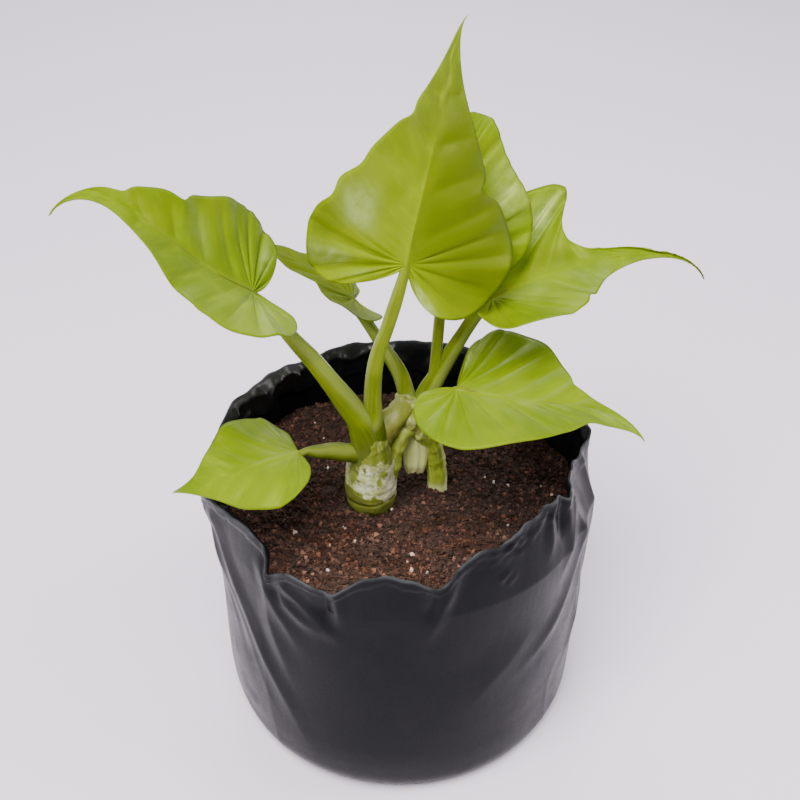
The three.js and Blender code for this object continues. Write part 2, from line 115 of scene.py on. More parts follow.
# Several parts as one, with the number of each face's part kept for its material.
def joined(parts):
    faces, owners, shift = [], [], 0
    for number, part in enumerate(parts):
        for block in part["faces"]:
            faces.append(block + shift)
            owners.append(np.full(len(block), number))
        shift += len(part["points"])
    names = sorted({name for part in parts for name in part["values"]})
    values = {name: np.concatenate([part["values"].get(name, np.zeros(len(part["points"]))) for part in parts])
              for name in names}
    return {"points": np.concatenate([part["points"] for part in parts]), "faces": faces, "values": values,
            "owners": np.concatenate(owners)}


# A mesh object on the root body, made from a part, with its materials, and with the imported parts it stands for
# hidden.
def addPiece(name, part, materials, replaces=(), soft=True):
    mesh = bpy.data.meshes.new(name)
    blocks = [block for block in part["faces"] if len(block)]
    sizes = np.concatenate([np.full(len(block), block.shape[1]) for block in blocks])
    corners = np.concatenate([block.ravel() for block in blocks])
    mesh.vertices.add(len(part["points"]))
    mesh.vertices.foreach_set("co", (part["points"] * mm).astype(np.float32).ravel())
    mesh.loops.add(len(corners))
    mesh.loops.foreach_set("vertex_index", corners.astype(np.int32))
    mesh.polygons.add(len(sizes))
    mesh.polygons.foreach_set("loop_start", np.concatenate([[0], np.cumsum(sizes)[:-1]]).astype(np.int32))
    mesh.polygons.foreach_set("use_smooth", np.full(len(sizes), soft))
    if "owners" in part and len(materials) > 1:
        owners = np.minimum(part["owners"], len(materials) - 1)
        mesh.polygons.foreach_set("material_index", owners.astype(np.int32))
    for key, value in part["values"].items():
        mesh.attributes.new(key, "FLOAT", "POINT").data.foreach_set("value", value.astype(np.float32))
    for material in materials:
        mesh.materials.append(material)
    mesh.update(calc_edges=True)
    mesh.validate()
    piece = bpy.data.objects.new(name, mesh)
    bpy.context.scene.collection.objects.link(piece)
    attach(piece, "root")
    if replaces:
        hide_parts(*replaces)
    print(name, len(mesh.polygons), "faces")


# Points on a smooth curve through stations, with steps points to a span. Centripetal Catmull-Rom: each
# span is a cubic whose end slopes come from its neighbours, with knots as far apart as the root of the gap.
def curveThrough(stations, steps):
    given = np.asarray(stations, float)
    ends = np.vstack([2 * given[0] - given[1], given, 2 * given[-1] - given[-2]])
    t = np.linspace(0, 1, steps, endpoint=False)[:, None]
    spans = []
    for before, low, high, after in zip(ends, ends[1:], ends[2:], ends[3:]):
        g = [math.sqrt(np.linalg.norm(gap)) for gap in (low - before, high - low, after - high)]
        leave = g[1] * ((low - before) / g[0] - (high - before) / (g[0] + g[1]) + (high - low) / g[1])
        reach = g[1] * ((high - low) / g[1] - (after - low) / (g[1] + g[2]) + (after - high) / g[2])
        bend = 3 * (high - low) - 2 * leave - reach
        spans.append(low + leave * t + bend * t ** 2 + (2 * (low - high) + leave + reach) * t ** 3)
    return np.vstack(spans + [given[-1:]])


# How far it is along a line of points to each of them.
def lengthsTo(line):
    return np.append(0, np.cumsum(np.linalg.norm(np.diff(line, axis=0), axis=1)))


# A closed tube along centres. top is the way its first column faces; shape(angle, row) scales the
# radius, and extra(angle, row) adds to it in millimetres.
def tube(centres, radii, sides, top, shape=None, extra=None):
    centres = np.asarray(centres, float)
    rows = len(centres)
    along = unit(np.gradient(centres, axis=0))
    up = np.broadcast_to(np.asarray(top, float), centres.shape)
    up = unit(up - along * (up * along).sum(-1, keepdims=True))
    side = np.cross(along, up)
    angle, row = np.meshgrid(np.linspace(0, 2 * np.pi, sides, endpoint=False), np.arange(rows))
    reach = np.asarray(radii, float)[:, None] * (shape(angle, row) if shape else np.ones_like(angle))
    if extra:
        reach = reach + extra(angle, row)
    rings = (centres[:, None] + up[:, None] * (reach * np.cos(angle))[..., None]
             + side[:, None] * (reach * np.sin(angle))[..., None])
    points = np.vstack([rings.reshape(-1, 3), centres[:1], centres[-1:]])
    turn = np.append((angle / (2 * np.pi)).ravel(), [0, 0])
    share = np.append((row / (rows - 1)).ravel(), [0, 1])
    return {"points": points, "faces": closedFaces(rows, sides), "values": {"turn": turn, "share": share}}


# Short calls that add nodes to one tree, of a material or of a group.
class Nodes:
    # The tree that the nodes go into.
    def __init__(self, tree):
        self.tree = tree

    # A node with its settings, and its inputs linked to sockets or set to values.
    def add(self, kind, links=(), **settings):
        node = self.tree.nodes.new("ShaderNode" + kind)
        for key, value in settings.items():
            setattr(node, key, value)
        for key, value in dict(links).items():
            self.put(node.inputs[key], value)
        return node

    # Feeds an input: a link from a socket, a colour made opaque, or a plain value.
    def put(self, socket, value):
        if isinstance(value, bpy.types.NodeSocket):
            self.tree.links.new(value, socket)
        elif socket.type == "RGBA":
            socket.default_value = (*value[:3], 1)
        else:
            socket.default_value = value

    # One of the mesh's own values.
    def value(self, name):
        return self.add("Attribute", attribute_name=name).outputs["Fac"]

    # The object's coordinates in millimetres, each axis scaled.
    def place(self, scale=(1, 1, 1)):
        spot = self.add("TexCoord").outputs["Object"]
        return self.add("VectorMath", {0: spot, 1: tuple(s / mm for s in scale)}, operation="MULTIPLY").outputs[0]

    # Noise from 0 to 1 with patches about size millimetres across.
    def noise(self, size, detail=3.0, where=None, rough=0.5):
        links = {"Vector": where or self.place(), "Scale": 1 / size, "Detail": detail, "Roughness": rough}
        return self.add("TexNoise", links).outputs["Fac"]

    # a and b put together by one of the Math node's operations.
    def math(self, operation, a, b=0.0):
        return self.add("Math", {0: a, 1: b}, operation=operation).outputs[0]

    # a times b.
    def times(self, a, b):
        return self.math("MULTIPLY", a, b)

    # a plus b.
    def plus(self, a, b):
        return self.math("ADD", a, b)

    # x from low to high turned into out by the smooth step, level past both.
    def between(self, x, low, high, out=(0.0, 1.0)):
        links = {"Value": x, "From Min": low, "From Max": high, "To Min": out[0], "To Max": out[1]}
        return self.add("MapRange", links, interpolation_type="SMOOTHSTEP").outputs[0]

    # Colour a turned into b by a share.
    def blend(self, share, a, b):
        node = self.add("Mix", data_type="RGBA")
        for socket, value in ((node.inputs[0], share), (node.inputs[6], a), (node.inputs[7], b)):
            self.put(socket, value)
        return node.outputs[2]

    # Places a group and gives its outputs.
    def use(self, group, **links):
        return self.add("Group", links, node_tree=group).outputs

    # A relief of depth millimetres, as a normal.
    def relief(self, height, depth, strength=1.0):
        links = {"Height": height, "Distance": depth * mm, "Strength": strength}
        return self.add("Bump", links).outputs[0]


# A material with constants on its shader, and what its surface links feed.
def newMaterial(name, constants, build):
    material = bpy.data.materials.new(name)
    material.use_nodes = True
    nodes = Nodes(material.node_tree)
    shader = material.node_tree.nodes["Principled BSDF"]
    for socket, value in constants.items():
        shader.inputs[socket].default_value = value
    for socket, value in build(nodes).items():
        nodes.put(shader.inputs[socket], value)
    return material


# A node group with named inputs and outputs: build(nodes, inputs) gives what each output shows.
def newGroup(name, inputs, outputs, build):
    tree = bpy.data.node_groups.new(name, "ShaderNodeTree")
    for way, sockets in (("INPUT", inputs), ("OUTPUT", outputs)):
        for socket, kind in sockets.items():
            tree.interface.new_socket(socket, in_out=way, socket_type="NodeSocket" + kind)
    given = tree.nodes.new("NodeGroupInput")
    result = tree.nodes.new("NodeGroupOutput")
    for socket, value in build(Nodes(tree), given.outputs).items():
        tree.links.new(value, result.inputs[socket])
    return tree


# Green plant skin: drifts from bright to deep, with fine paler streaks along it and a slight tooth.
def plantSkinNodes(n, given):
    where = n.add("CombineXYZ", {"X": given["Across"], "Y": given["Along"]}).outputs[0]
    streaks = n.add("TexNoise", {"Vector": where, "Scale": 1.0, "Detail": 2.0}).outputs["Fac"]
    colour = n.blend(n.between(n.noise(15, 2.0), 0.36, 0.64), given["Bright"], given["Deep"])
    colour = n.blend(n.times(n.between(streaks, 0.45, 0.75), given["Streaks"]), colour, given["Pale"])
    height = n.plus(n.times(streaks, 0.6), n.times(n.noise(0.5, 2.0), 0.4))
    return {"Color": colour, "Height": height, "Roughness": n.between(n.noise(6), 0.3, 0.7, (0.33, 0.52))}


# Crumbly stuff: each grain's tone picks a colour between dark and light, broken up by fine noise.
def crumbNodes(n, given):
    speck = n.between(n.noise(0.6, 4.0, rough=0.65), 0.3, 0.7)
    tone = n.plus(n.times(given["Tone"], 0.75), n.times(speck, 0.25))
    drift = n.between(n.noise(9, 2.0), 0.35, 0.65)
    light = n.blend(drift, given["Light"], given["Warm"])
    colour = n.blend(n.math("POWER", tone, 1.35), given["Dark"], light)
    return {"Color": colour, "Height": n.noise(0.35, 4.0, rough=0.7),
            "Roughness": n.between(speck, 0.0, 1.0, (0.95, 0.72))}


# What a group feeds a shader: its colour, or another laid over it, its roughness and its relief.
def fed(n, skin, depth, strength=1.0, colour=None):
    return {"Base Color": colour or skin["Color"], "Roughness": skin["Roughness"],
            "Normal": n.relief(skin["Height"], depth, strength)}


shows = {"Color": "Color", "Height": "Float", "Roughness": "Float"}
plantSkin = newGroup("plant skin", {"Across": "Float", "Along": "Float", "Streaks": "Float", "Bright": "Color",
                                    "Deep": "Color", "Pale": "Color"}, shows, plantSkinNodes)
crumbs = newGroup("crumbs", {"Tone": "Float", "Dark": "Color", "Light": "Color", "Warm": "Color"}, shows, crumbNodes)


# The bag. Its profile and rim are those of its solid; creases lie on it as ridges and pinches.
bag = {
    "profile": [[52.5, 0], [55.4, 1.2], [57.4, 4.5], [58.4, 12], [58.7, 26], [58.6, 44], [58.6, 62], [58.8, 78]],
    "bulge": (0.5, 3, 40, 20),  # height, count, turn in degrees, and where it is full
    "rim": [  # azimuth, radius and height
        [-163, 61.5, 89], [-155, 60, 92], [-148, 58.5, 92.5], [-138, 58, 93], [-131, 58, 91],
        [-128, 60, 84], [-121, 60, 88], [-116, 60, 88], [-109.5, 60.5, 85], [-104, 59.5, 89.5],
        [-99, 59, 93], [-94, 58.5, 94], [-87.5, 58.5, 92.5], [-80, 59.5, 88.5], [-75, 57, 93.5],
        [-67.5, 56, 96.5], [-61.5, 56, 96], [-53, 54.5, 98], [-42, 54, 99], [-36, 54, 99],
        [-31, 57, 96], [-22, 53.5, 95], [-12, 52.5, 94], [-2, 54.5, 92], [7, 60, 93],
        [20, 60.5, 90], [34, 59.5, 92.5], [52, 60.5, 90], [66, 60, 92.5], [80, 60.5, 92],
        [100, 60.5, 92], [108, 60.5, 92.5], [117, 60, 91], [125, 60.5, 90], [131, 59.5, 92],
        [148, 60, 91], [156, 60, 91.5], [166, 59.5, 88], [180, 59.5, 87], [189, 60, 86],
    ],
    "columns": 600, "rowGap": 1.15, "lipRows": 22, "footHeight": 12, "film": 0.7,
    "fieldRadius": 60,  # where the random fields round the bag are read
    "ripple": (0.3, 7),  # height and size of the small waves in the rim's edge
    "hem": {"width": 2.4, "height": 0.3, "soft": 0.5, "stray": 0.5, "size": 1.5},
    "crumple": {"at": -50, "spread": 15, "depth": 9, "size": 3.4, "height": 0.4},
    "roll": (36, 72, 108, 144),  # degrees round the rolled edge
    "cuff": {"depth": 10.5, "uneven": 0.12, "unevenSize": 30, "rows": 20, "stand": 0.35, "crumple": 1.1, "size": 14,
             "sharp": 0.3},
    "turned": {"at": -152, "spread": 20, "stand": 1.9},  # where the cuff leans in over the mix
    "facets": {"at": 140, "spread": 38, "stand": 2.8, "size": 22, "sharp": 0.4, "shine": 44},
    "soilLevel": 69.5, "insideRows": 7, "hiddenInset": 2.6, "hiddenLevels": (60.0, 30.0, 8.0, 2.0),
    "base": (30.0, 48.0), "innerFloor": (26.0, 2.0),
    "wrinkles": {"size": 26, "height": 0.26, "stretch": 3.4, "sharp": 0.22, "level": 0.35, "front": 0.1,
                 "middle": -88, "quiet": (28, 58)},
    "dents": {"size": 42, "height": 0.6, "front": 0.35},
    "crease": {"crest": 0.3, "sides": 2.7, "power": 1.6},
    # Rise, width, whether it fades at its start too, and the line as [azimuth, height]
    "creases": [
        (1.1, 2.4, 0, [[-157, 84], [-151, 72], [-142, 58], [-132, 42], [-125, 30], [-120, 19], [-116, 8]]),
        (0.8, 2.2, 0, [[-164, 82], [-159, 71], [-150, 60], [-141, 46], [-134, 30], [-128, 18]]),
        (0.9, 2.0, 0, [[-131, 82], [-127, 72], [-123, 65], [-118, 55]]),
        (0.7, 1.8, 0, [[-162, 84], [-160.5, 79], [-157, 66], [-152, 52], [-147, 36]]),
        (1.0, 1.6, 0, [[-128, 84], [-123, 76], [-118, 72], [-112, 69], [-107, 67]]),
        (0.7, 1.4, 0, [[-122.6, 82], [-113, 74], [-104.6, 64]]),
        (0.7, 2.2, 0, [[-129.5, 81], [-130, 64], [-125, 48], [-121, 35]]),
        (-1.5, 1.7, 0, [[-110, 86], [-110.5, 80], [-111, 74], [-111.5, 69]]),
        (0.7, 1.2, 0, [[-107, 86], [-106.5, 79], [-107, 72]]),
        (-1.3, 1.6, 0, [[-128, 86], [-126, 79], [-124, 73]]),
        (0.9, 1.3, 0, [[-76, 93], [-78, 85], [-81, 74], [-84, 66]]),
        (0.6, 1.3, 0, [[-73.7, 93], [-76.3, 86], [-79.3, 78]]),
        (-1.2, 1.8, 0, [[-80, 89], [-81, 82], [-83, 75]]),
        (0.45, 0.7, 1, [[-63, 84.6], [-59.5, 86.4], [-56, 87.2]]),
        (0.35, 0.5, 1, [[-60, 82.6], [-57.5, 84.2], [-54.5, 85]]),
        (1.0, 1.6, 0, [[-36.6, 99], [-40.7, 94], [-41, 87], [-44, 80]]),
        (0.9, 1.7, 0, [[-25.7, 93], [-29, 83], [-33, 75], [-38, 66]]),
        (0.8, 2.0, 1, [[-10, 58], [-13, 46], [-17, 34], [-24, 27], [-31, 15]]),
        (0.9, 2.2, 0, [[-20, 76], [-24, 67], [-31.5, 57], [-42, 49], [-52, 44], [-59.5, 40]]),
        (0.8, 1.8, 0, [[-24, 90], [-20, 76], [-18, 61], [-17, 43], [-14, 22]]),
        (0.6, 5.0, 1, [[-46, 62], [-54, 53], [-66, 42], [-74, 30]]),
        (0.9, 1.8, 0, [[-4, 90], [-8, 74], [-9, 58], [-6, 40], [-2, 20]]),
        (-1.2, 1.5, 0, [[-33, 98], [-34, 91], [-37, 84]]),
    ],
    # The unseen side goes on in the same manner: this many seeded lines between two azimuths
    "backCreases": {"count": 15, "span": (8, 190), "seed": 4, "drift": 26, "fall": (35, 70), "top": (80, 90),
                    "rises": [0.9, 0.7, -0.8], "width": (1.4, 2.6)},
}


# A value between stations going round, half straight and half monotone cubic, so pinches stay sharp.
# A monotone cubic's slope is the harmonic mean of its neighbours' slopes, or 0 at a turning point.
def roundRim(azimuth, column):
    stations, turn = np.array(bag["rim"], float), np.array([360, 0, 0])
    stations = np.vstack([stations[-1] - turn, stations, stations[:2] + turn])
    x, y = stations[:, 0], stations[:, column]
    gap, rise = np.diff(x), np.diff(y) / np.diff(x)
    product = rise[1:] * rise[:-1]
    mean = np.where(product > 0, 2 * product / np.where(product > 0, rise[1:] + rise[:-1], 1), 0)
    slope = np.concatenate([rise[:1], mean, rise[-1:]])
    at = (azimuth - x[1]) % 360 + x[1]
    low = np.clip(np.searchsorted(x, at, side="right") - 1, 0, len(x) - 2)
    t = (at - x[low]) / gap[low]
    cubicValue = (y[low] * (1 + 2 * t) * (1 - t) ** 2 + y[low + 1] * t * t * (3 - 2 * t)
                  + gap[low] * (slope[low] * t * (1 - t) ** 2 - slope[low + 1] * t * t * (1 - t)))
    straight = y[low] + (y[low + 1] - y[low]) * t
    return 0.5 * cubicValue + 0.5 * straight


profileLine = curveThrough([[r, z, 0] for r, z in bag["profile"]], 8)
wallTop = bag["profile"][-1]
perDegree = math.radians(wallTop[0])  # millimetres round the wall


# The film's radius before its relief: the profile with three broad swells, then straight up to the rim.
def filmRadius(azimuth, height):
    size, count, turn, full = bag["bulge"]
    swell = size * np.sin(np.radians(count * azimuth + turn)) * np.clip(height / full, 0, 1)
    wall = np.interp(height, profileLine[:, 1], profileLine[:, 0]) + swell
    share = np.clip((height - wallTop[1]) / (roundRim(azimuth, 2) - wallTop[1]), 0, 1)
    return wall + (roundRim(azimuth, 1) - wall) * share


# The relief of one crease: a tent, 1 less the distance over its sides times its width, to a power. Its
# crest is blunted as the root of the distance squared plus a little. It fades at its end, or at both.
def creaseRelief(azimuth, height, crease):
    rise, width, fadeStart, line = crease
    line = curveThrough([[a, z, 0] for a, z in line], 4)[:, :2]
    middle = line[:, 0].mean()
    spot = np.stack([((azimuth - middle + 180) % 360 - 180 + middle) * perDegree, height], -1)
    line = line * [perDegree, 1]
    length = lengthsTo(line)
    near, share = np.full(azimuth.shape, 1e9), np.zeros(azimuth.shape)
    for start, end, run in zip(line, line[1:], length):
        way = end - start
        size = np.linalg.norm(way)
        t = np.clip(((spot - start) @ way) / size ** 2, 0, 1)
        distance = np.linalg.norm(spot - start - t[..., None] * way, axis=-1)
        share = np.where(distance < near, (run + t * size) / length[-1], share)
        near = np.minimum(near, distance)
    fade = (smooth(0, 0.3, share) if fadeStart else 1) * (1 - smooth(0.45, 1, share))
    look = bag["crease"]
    tent = 1 - (np.sqrt(near ** 2 + look["crest"] ** 2) - look["crest"]) / (look["sides"] * width)
    return rise * fade * np.clip(tent, 0, 1) ** look["power"]


# Seeded creases for the side away from the photo: each starts near the rim, sweeps down evenly and
# drifts to one side by the power 1.4 of how far it has come.
def backCreases():
    look = bag["backCreases"]
    draw = np.random.default_rng(look["seed"])
    lines = []
    for start in np.linspace(*look["span"], look["count"]):
        drift, fall = draw.uniform(-look["drift"], look["drift"]), draw.uniform(*look["fall"])
        top = draw.uniform(*look["top"])
        line = [[start + drift * t ** 1.4, top - fall * t] for t in (0, 0.3, 0.6, 1)]
        lines.append((draw.choice(look["rises"]), draw.uniform(*look["width"]), 0, line))
    return lines


# How far the film stands out from its plain form: dents, sharp wrinkles and the creases, which all fade
# at the foot. The film is quieter at the front, where it is drawn tight.
def filmRelief(azimuth, height):
    spot = polar(wallTop[0], azimuth, height)
    look, dents = bag["wrinkles"], bag["dents"]
    fromFront = np.abs((azimuth - look["middle"] + 180) % 360 - 180)
    busy = look["front"] + (1 - look["front"]) * smooth(*look["quiet"], fromFront)
    wrinkles = ridges(spot / [1, 1, look["stretch"]], look["size"], look["sharp"], seed=3)
    relief = look["height"] * busy * (wrinkles - look["level"])
    deep = dents["height"] * (dents["front"] + (1 - dents["front"]) * busy)
    relief = relief + deep * randomField(spot, dents["size"], seed=8)
    for crease in bag["creases"] + backCreases():
        relief = relief + creaseRelief(azimuth, height, crease)
    return relief * smooth(0, 9, height)


# The film's radius with its relief.
def filmFace(azimuth, height):
    return filmRadius(azimuth, height) + filmRelief(azimuth, height)


# The bag is one closed shell, drawn as rows from the underside's middle up the outside, over the rolled
# rim, down the loose inner cuff and its ledge, and down inside to the inner floor.
def bagPart():
    film, ring = bag["film"], bag["fieldRadius"]
    azimuth = np.linspace(-180, 180, bag["columns"], endpoint=False)

    # A flat ring of the bag's own columns
    def level(size, z):
        return np.full((1, len(azimuth)), size), np.full((1, len(azimuth)), z)

    # The outside, with a welt below the rim and small crumples at the front right
    ripple, size = bag["ripple"]
    rimHeight = roundRim(azimuth, 2) + ripple * randomField(polar(ring, azimuth), size, seed=21)
    foot = profileLine[profileLine[:, 1] < bag["footHeight"], 1]
    levels = np.concatenate([foot, np.arange(bag["footHeight"], wallTop[1], bag["rowGap"])])
    wall = np.broadcast_to(levels[:, None], (len(levels), len(azimuth)))
    lip = wallTop[1] + (rimHeight - wallTop[1]) * np.linspace(0, 1, bag["lipRows"])[:, None]
    height = np.vstack([wall, lip])
    around = np.broadcast_to(azimuth, height.shape)
    below = rimHeight - height
    hem, crumple = bag["hem"], bag["crumple"]
    stray = hem["stray"] * randomField(np.stack([around * perDegree / 6, below], -1), hem["size"], seed=31)
    welt = hem["height"] * smooth(hem["width"] + hem["soft"], hem["width"], below + stray)
    share = crumple["height"] * bell(around - crumple["at"], crumple["spread"]) * smooth(crumple["depth"], 2, below)
    welt = welt + share * randomField(polar(ring, around, height * 1.4), crumple["size"], seed=33)
    rows = [level(size, 0.0) for size in bag["base"]] + [(filmFace(around, height) + welt, height)]
    top = rows[-1][0][-1]
    outerRows = len(height)
    for turn in np.radians(bag["roll"]):
        rows.append((top - film / 2 * (1 - np.cos(turn)), rimHeight + film / 2 * np.sin(turn)))

    # The inner cuff, which stands loose of the wall
    cuff, turned, facets = bag["cuff"], bag["turned"], bag["facets"]
    share = np.linspace(0, 1, cuff["rows"])[:, None]
    depth = cuff["depth"] * (1 + cuff["uneven"] * randomField(polar(ring, azimuth), cuff["unevenSize"], seed=5))
    height = rimHeight - depth * share
    around = np.broadcast_to(azimuth, height.shape)
    spot = polar(ring, around, height / 1.3)
    loose = cuff["stand"] + cuff["crumple"] * ridges(spot, cuff["size"], cuff["sharp"], seed=17)
    loose = loose + turned["stand"] * bell(around - turned["at"], turned["spread"])
    large = facets["stand"] * bell(around - facets["at"], facets["spread"])
    loose = loose + large * ridges(spot, facets["size"], facets["sharp"], seed=18)
    loose = loose * smooth(0, 0.25, share)
    plain = filmFace(around, height) - film
    keep = smooth(0, 0.12, share)
    plain = plain * keep + (top - film + plain - plain[:1]) * (1 - keep)
    rows.append((plain - loose, height))

    # Down inside to the mix, and on behind it
    inside = np.linspace(0, 1, bag["insideRows"])[:, None]
    height = height[-1] - 0.2 + (bag["soilLevel"] - height[-1] + 0.2) * inside
    rows.append((filmFace(np.broadcast_to(azimuth, height.shape), height) - film, height))
    for z in bag["hiddenLevels"]:
        z = np.full((1, len(azimuth)), z)
        rows.append((filmRadius(azimuth[None], z) - bag["hiddenInset"], z))
    rows.append(level(*bag["innerFloor"]))

    radius, height = (np.vstack([np.atleast_2d(row[k]) for row in rows]) for k in (0, 1))
    count, columns = radius.shape
    # edge marks a band along the rim whose colour is lightened: a painted highlight
    edge = bell(np.abs(height - rimHeight[None] - 0.2), 0.55) * (radius > 40)
    inner = np.arange(count)[:, None] > outerRows + 3
    shine = inner * bell(azimuth - facets["at"], facets["shine"]) * smooth(9, 6, rimHeight - height)
    points = polar(radius, azimuth, height).reshape(-1, 3)
    return {"points": np.vstack([points, [[0, 0, 0], [0, 0, bag["innerFloor"][1]]]]),
            "faces": closedFaces(count, columns),
            "values": {"edge": np.append(edge.ravel(), [0, 0]), "shine": np.append(shine.ravel(), [0, 0])}}


# Black film: near black, dusty where it is handled, satin with fine wrinkles, and paler along its rolled rim as a
# painted highlight.
def filmNodes(n):
    dust = n.between(n.noise(11, 5.0, rough=0.6), 0.42, 0.72)
    colour = n.blend(n.times(dust, 0.3), (0.0035, 0.0038, 0.0046), (0.009, 0.0088, 0.009))
    # painted highlight: the colour turns paler, in broken stretches, along the rim
    edge = n.times(n.value("edge"), n.between(n.noise(7, 2.0), 0.35, 0.65, (0.15, 0.6)))
    colour = n.blend(edge, colour, (0.07, 0.078, 0.085))
    fine = n.noise(3.0, 3.0, n.place((1, 1, 0.4)), 0.5)
    tiny = n.noise(0.5, 2.0)
    height = n.plus(n.times(fine, 0.9), n.times(tiny, 0.06))
    return {"Base Color": colour, "Roughness": n.between(dust, 0.0, 1.0, (0.27, 0.38)),
            "Coat Weight": n.times(n.value("shine"), 0.8), "Normal": n.relief(height, 0.16, 0.5)}


blackFilm = newMaterial("black film", {"Specular IOR Level": 0.085, "Specular Tint": (0.92, 0.95, 1, 1),
                                       "Coat Roughness": 0.3}, filmNodes)
addPiece("bag_film", bagPart(), [blackFilm], ["nursery_bag"])


# The potting mix. Its top is a low heap with lumps, as its solid's is, with crumbs and fibres laid on it.
mix = {
    "height": 71.5, "heap": 1.2, "lump": 0.7, "rings": 100, "sides": 260, "seed": 12,
    "plug": [(3.4, 2.4), (2.2, 9), (2.2, 66)],  # inset from the film and height, below the top
    "brim": (0.2, 2),  # inset and depth just under the top's edge
    # rest is how far a piece's middle stands over the mix, as a share of its size
    "crumbs": {"count": 12500, "size": (0.34, 1.2), "lean": 2.2, "rest": 0.3, "paleShare": 0.07, "pale": (0.7, 1.25)},
    "chips": {"count": 130, "size": (0.8, 1.6), "near": (33, 16, 13), "rest": 0.2, "form": (1, 0.7, 0.4)},
    "fibres": {"count": 420, "length": (2.5, 8), "radius": (0.07, 0.16), "steps": 7, "bend": 1.3, "stand": 0.3,
               "arch": 0.7},
    "grains": {"count": 46, "size": (0.3, 0.6), "rest": 0.55, "scale": 0.62, "placed": [  # x, y and size
        [13.7, 2.6, 1.5], [-32, -17.2, 1.1], [-13.6, -21.4, 1.3], [3.6, -27.3, 1.4], [3.2, -34, 1.5],
        [-23.5, 12.7, 1.0], [-21, -22.9, 0.8], [34.7, 5, 1.1], [-21.1, -33.6, 0.9], [-2.5, -7.1, 0.9],
        [33.3, -11.7, 0.8]]},
}
stemSpots = [(-9, -3, 7), (12, 4, 3.2)]  # where stems leave the mix: x, y, radius


# The mix's top: height + heap (1 - r^2) + lumps of crossed sines, with finer seeded lumps.
def mixTop(x, y):
    out = np.hypot(x, y) / wallTop[0]
    lumps = np.sin(x * 0.31 + 1.3) * np.sin(y * 0.27 - 0.6) + 0.6 * np.sin(x * 0.12 - y * 0.17 + 2)
    spot = np.stack([x, y], -1)
    finer = 0.5 * randomField(spot, 8, seed=41) + 0.35 * randomField(spot, 3, seed=42)
    return mix["height"] + mix["heap"] * (1 - out ** 2) + mix["lump"] * lumps + finer


# Where the mix meets the film: the film's inner face at that height.
def mixEdge(azimuth):
    return filmFace(azimuth, np.full(azimuth.shape, mix["height"])) - bag["film"] + 0.15


# The mix as a closed plug: rings in from the film over the top, and down inside the bag.
def mixPart():
    azimuth = np.linspace(-180, 180, mix["sides"], endpoint=False)
    edge = mixEdge(azimuth)
    share = np.linspace(1, 0.004, mix["rings"])[:, None] ** 0.85
    x, y = np.moveaxis(polar(share * edge, azimuth), -1, 0)
    top = np.stack([x, y, mixTop(x, y)], -1)
    inset, depth = mix["brim"]
    down = [polar(edge - away, azimuth, z) for away, z in [*mix["plug"], (inset, top[0, :, 2] - depth)]]
    rows = mix["rings"] + len(down)
    middle = float(mixTop(np.zeros(1), np.zeros(1))[0])
    ends = [[0, 0, mix["plug"][0][1]], [0, 0, middle]]
    points = np.vstack([np.array(down).reshape(-1, 3), top.reshape(-1, 3), ends])
    return {"points": points, "faces": closedFaces(rows, mix["sides"]),
            "values": {"tone": 0.12 + 0.14 * randomField(points, 1.6, seed=9)}}


# Seeded spots on the mix inside the film and outside the stems, as x and y.
def mixSpots(draw, count, inset=1.0):
    azimuth = draw.uniform(-180, 180, count * 2)
    x, y = polar(np.sqrt(draw.uniform(0, 1, count * 2)) * (mixEdge(azimuth) - inset), azimuth).T
    clear = np.all([np.hypot(x - sx, y - sy) > r + 0.1 for sx, sy, r in stemSpots], axis=0)
    return x[clear][:count], y[clear][:count]


# Random turns, as matrices from unit quaternions.
def randomTurns(draw, count):
    w, x, y, z = unit(draw.normal(size=(count, 4))).T
    return np.stack([np.stack([1 - 2 * (y * y + z * z), 2 * (x * y - z * w), 2 * (x * z + y * w)], -1),
                     np.stack([2 * (x * y + z * w), 1 - 2 * (x * x + z * z), 2 * (y * z - x * w)], -1),
                     np.stack([2 * (x * z - y * w), 2 * (y * z + x * w), 1 - 2 * (x * x + y * y)], -1)], -2)


# Many copies of a small closed form, each stretched, turned, dented and moved to its own spot.
def scatter(form, faces, centres, sizes, draw, tones, dent=0.22):
    count = len(centres)
    stretch = sizes[:, None] * draw.uniform(0.65, 1.25, (count, 3))
    shape = form[None] * (1 + dent * draw.uniform(-1, 1, (count, len(form), 1)))
    points = np.einsum("nij,nkj->nki", randomTurns(draw, count), shape * stretch[:, None]) + centres[:, None]
    index = (faces[None] + (np.arange(count) * len(form))[:, None, None]).reshape(-1, faces.shape[1])
    return {"points": points.reshape(-1, 3), "faces": [index], "values": {"tone": np.repeat(tones, len(form))}}


# A crumb is an octahedron.
crumbForm = np.array([[1, 0, 0], [-1, 0, 0], [0, 1, 0], [0, -1, 0], [0, 0, 1], [0, 0, -1]], float)
crumbFaces = np.array([[0, 2, 4], [2, 1, 4], [1, 3, 4], [3, 0, 4], [2, 0, 5], [1, 2, 5], [3, 1, 5], [0, 3, 5]])


# A grain is a ball of rings of 8 points, each as wide as the cosine of its level, with poles.
def grainForm():
    turns, levels = np.linspace(0, 2 * np.pi, 8, endpoint=False), np.radians([-60, -30, 0, 30, 60])
    rings = np.stack([np.stack([np.cos(l) * np.cos(turns), np.cos(l) * np.sin(turns), np.sin(l) + 0 * turns], -1)
                      for l in levels])
    points = np.vstack([rings.reshape(-1, 3), [[0, 0, -1], [0, 0, 1]]])
    quads, caps = closedFaces(5, 8)
    return points, np.vstack([quads[:, [0, 1, 2]], quads[:, [0, 2, 3]], caps])


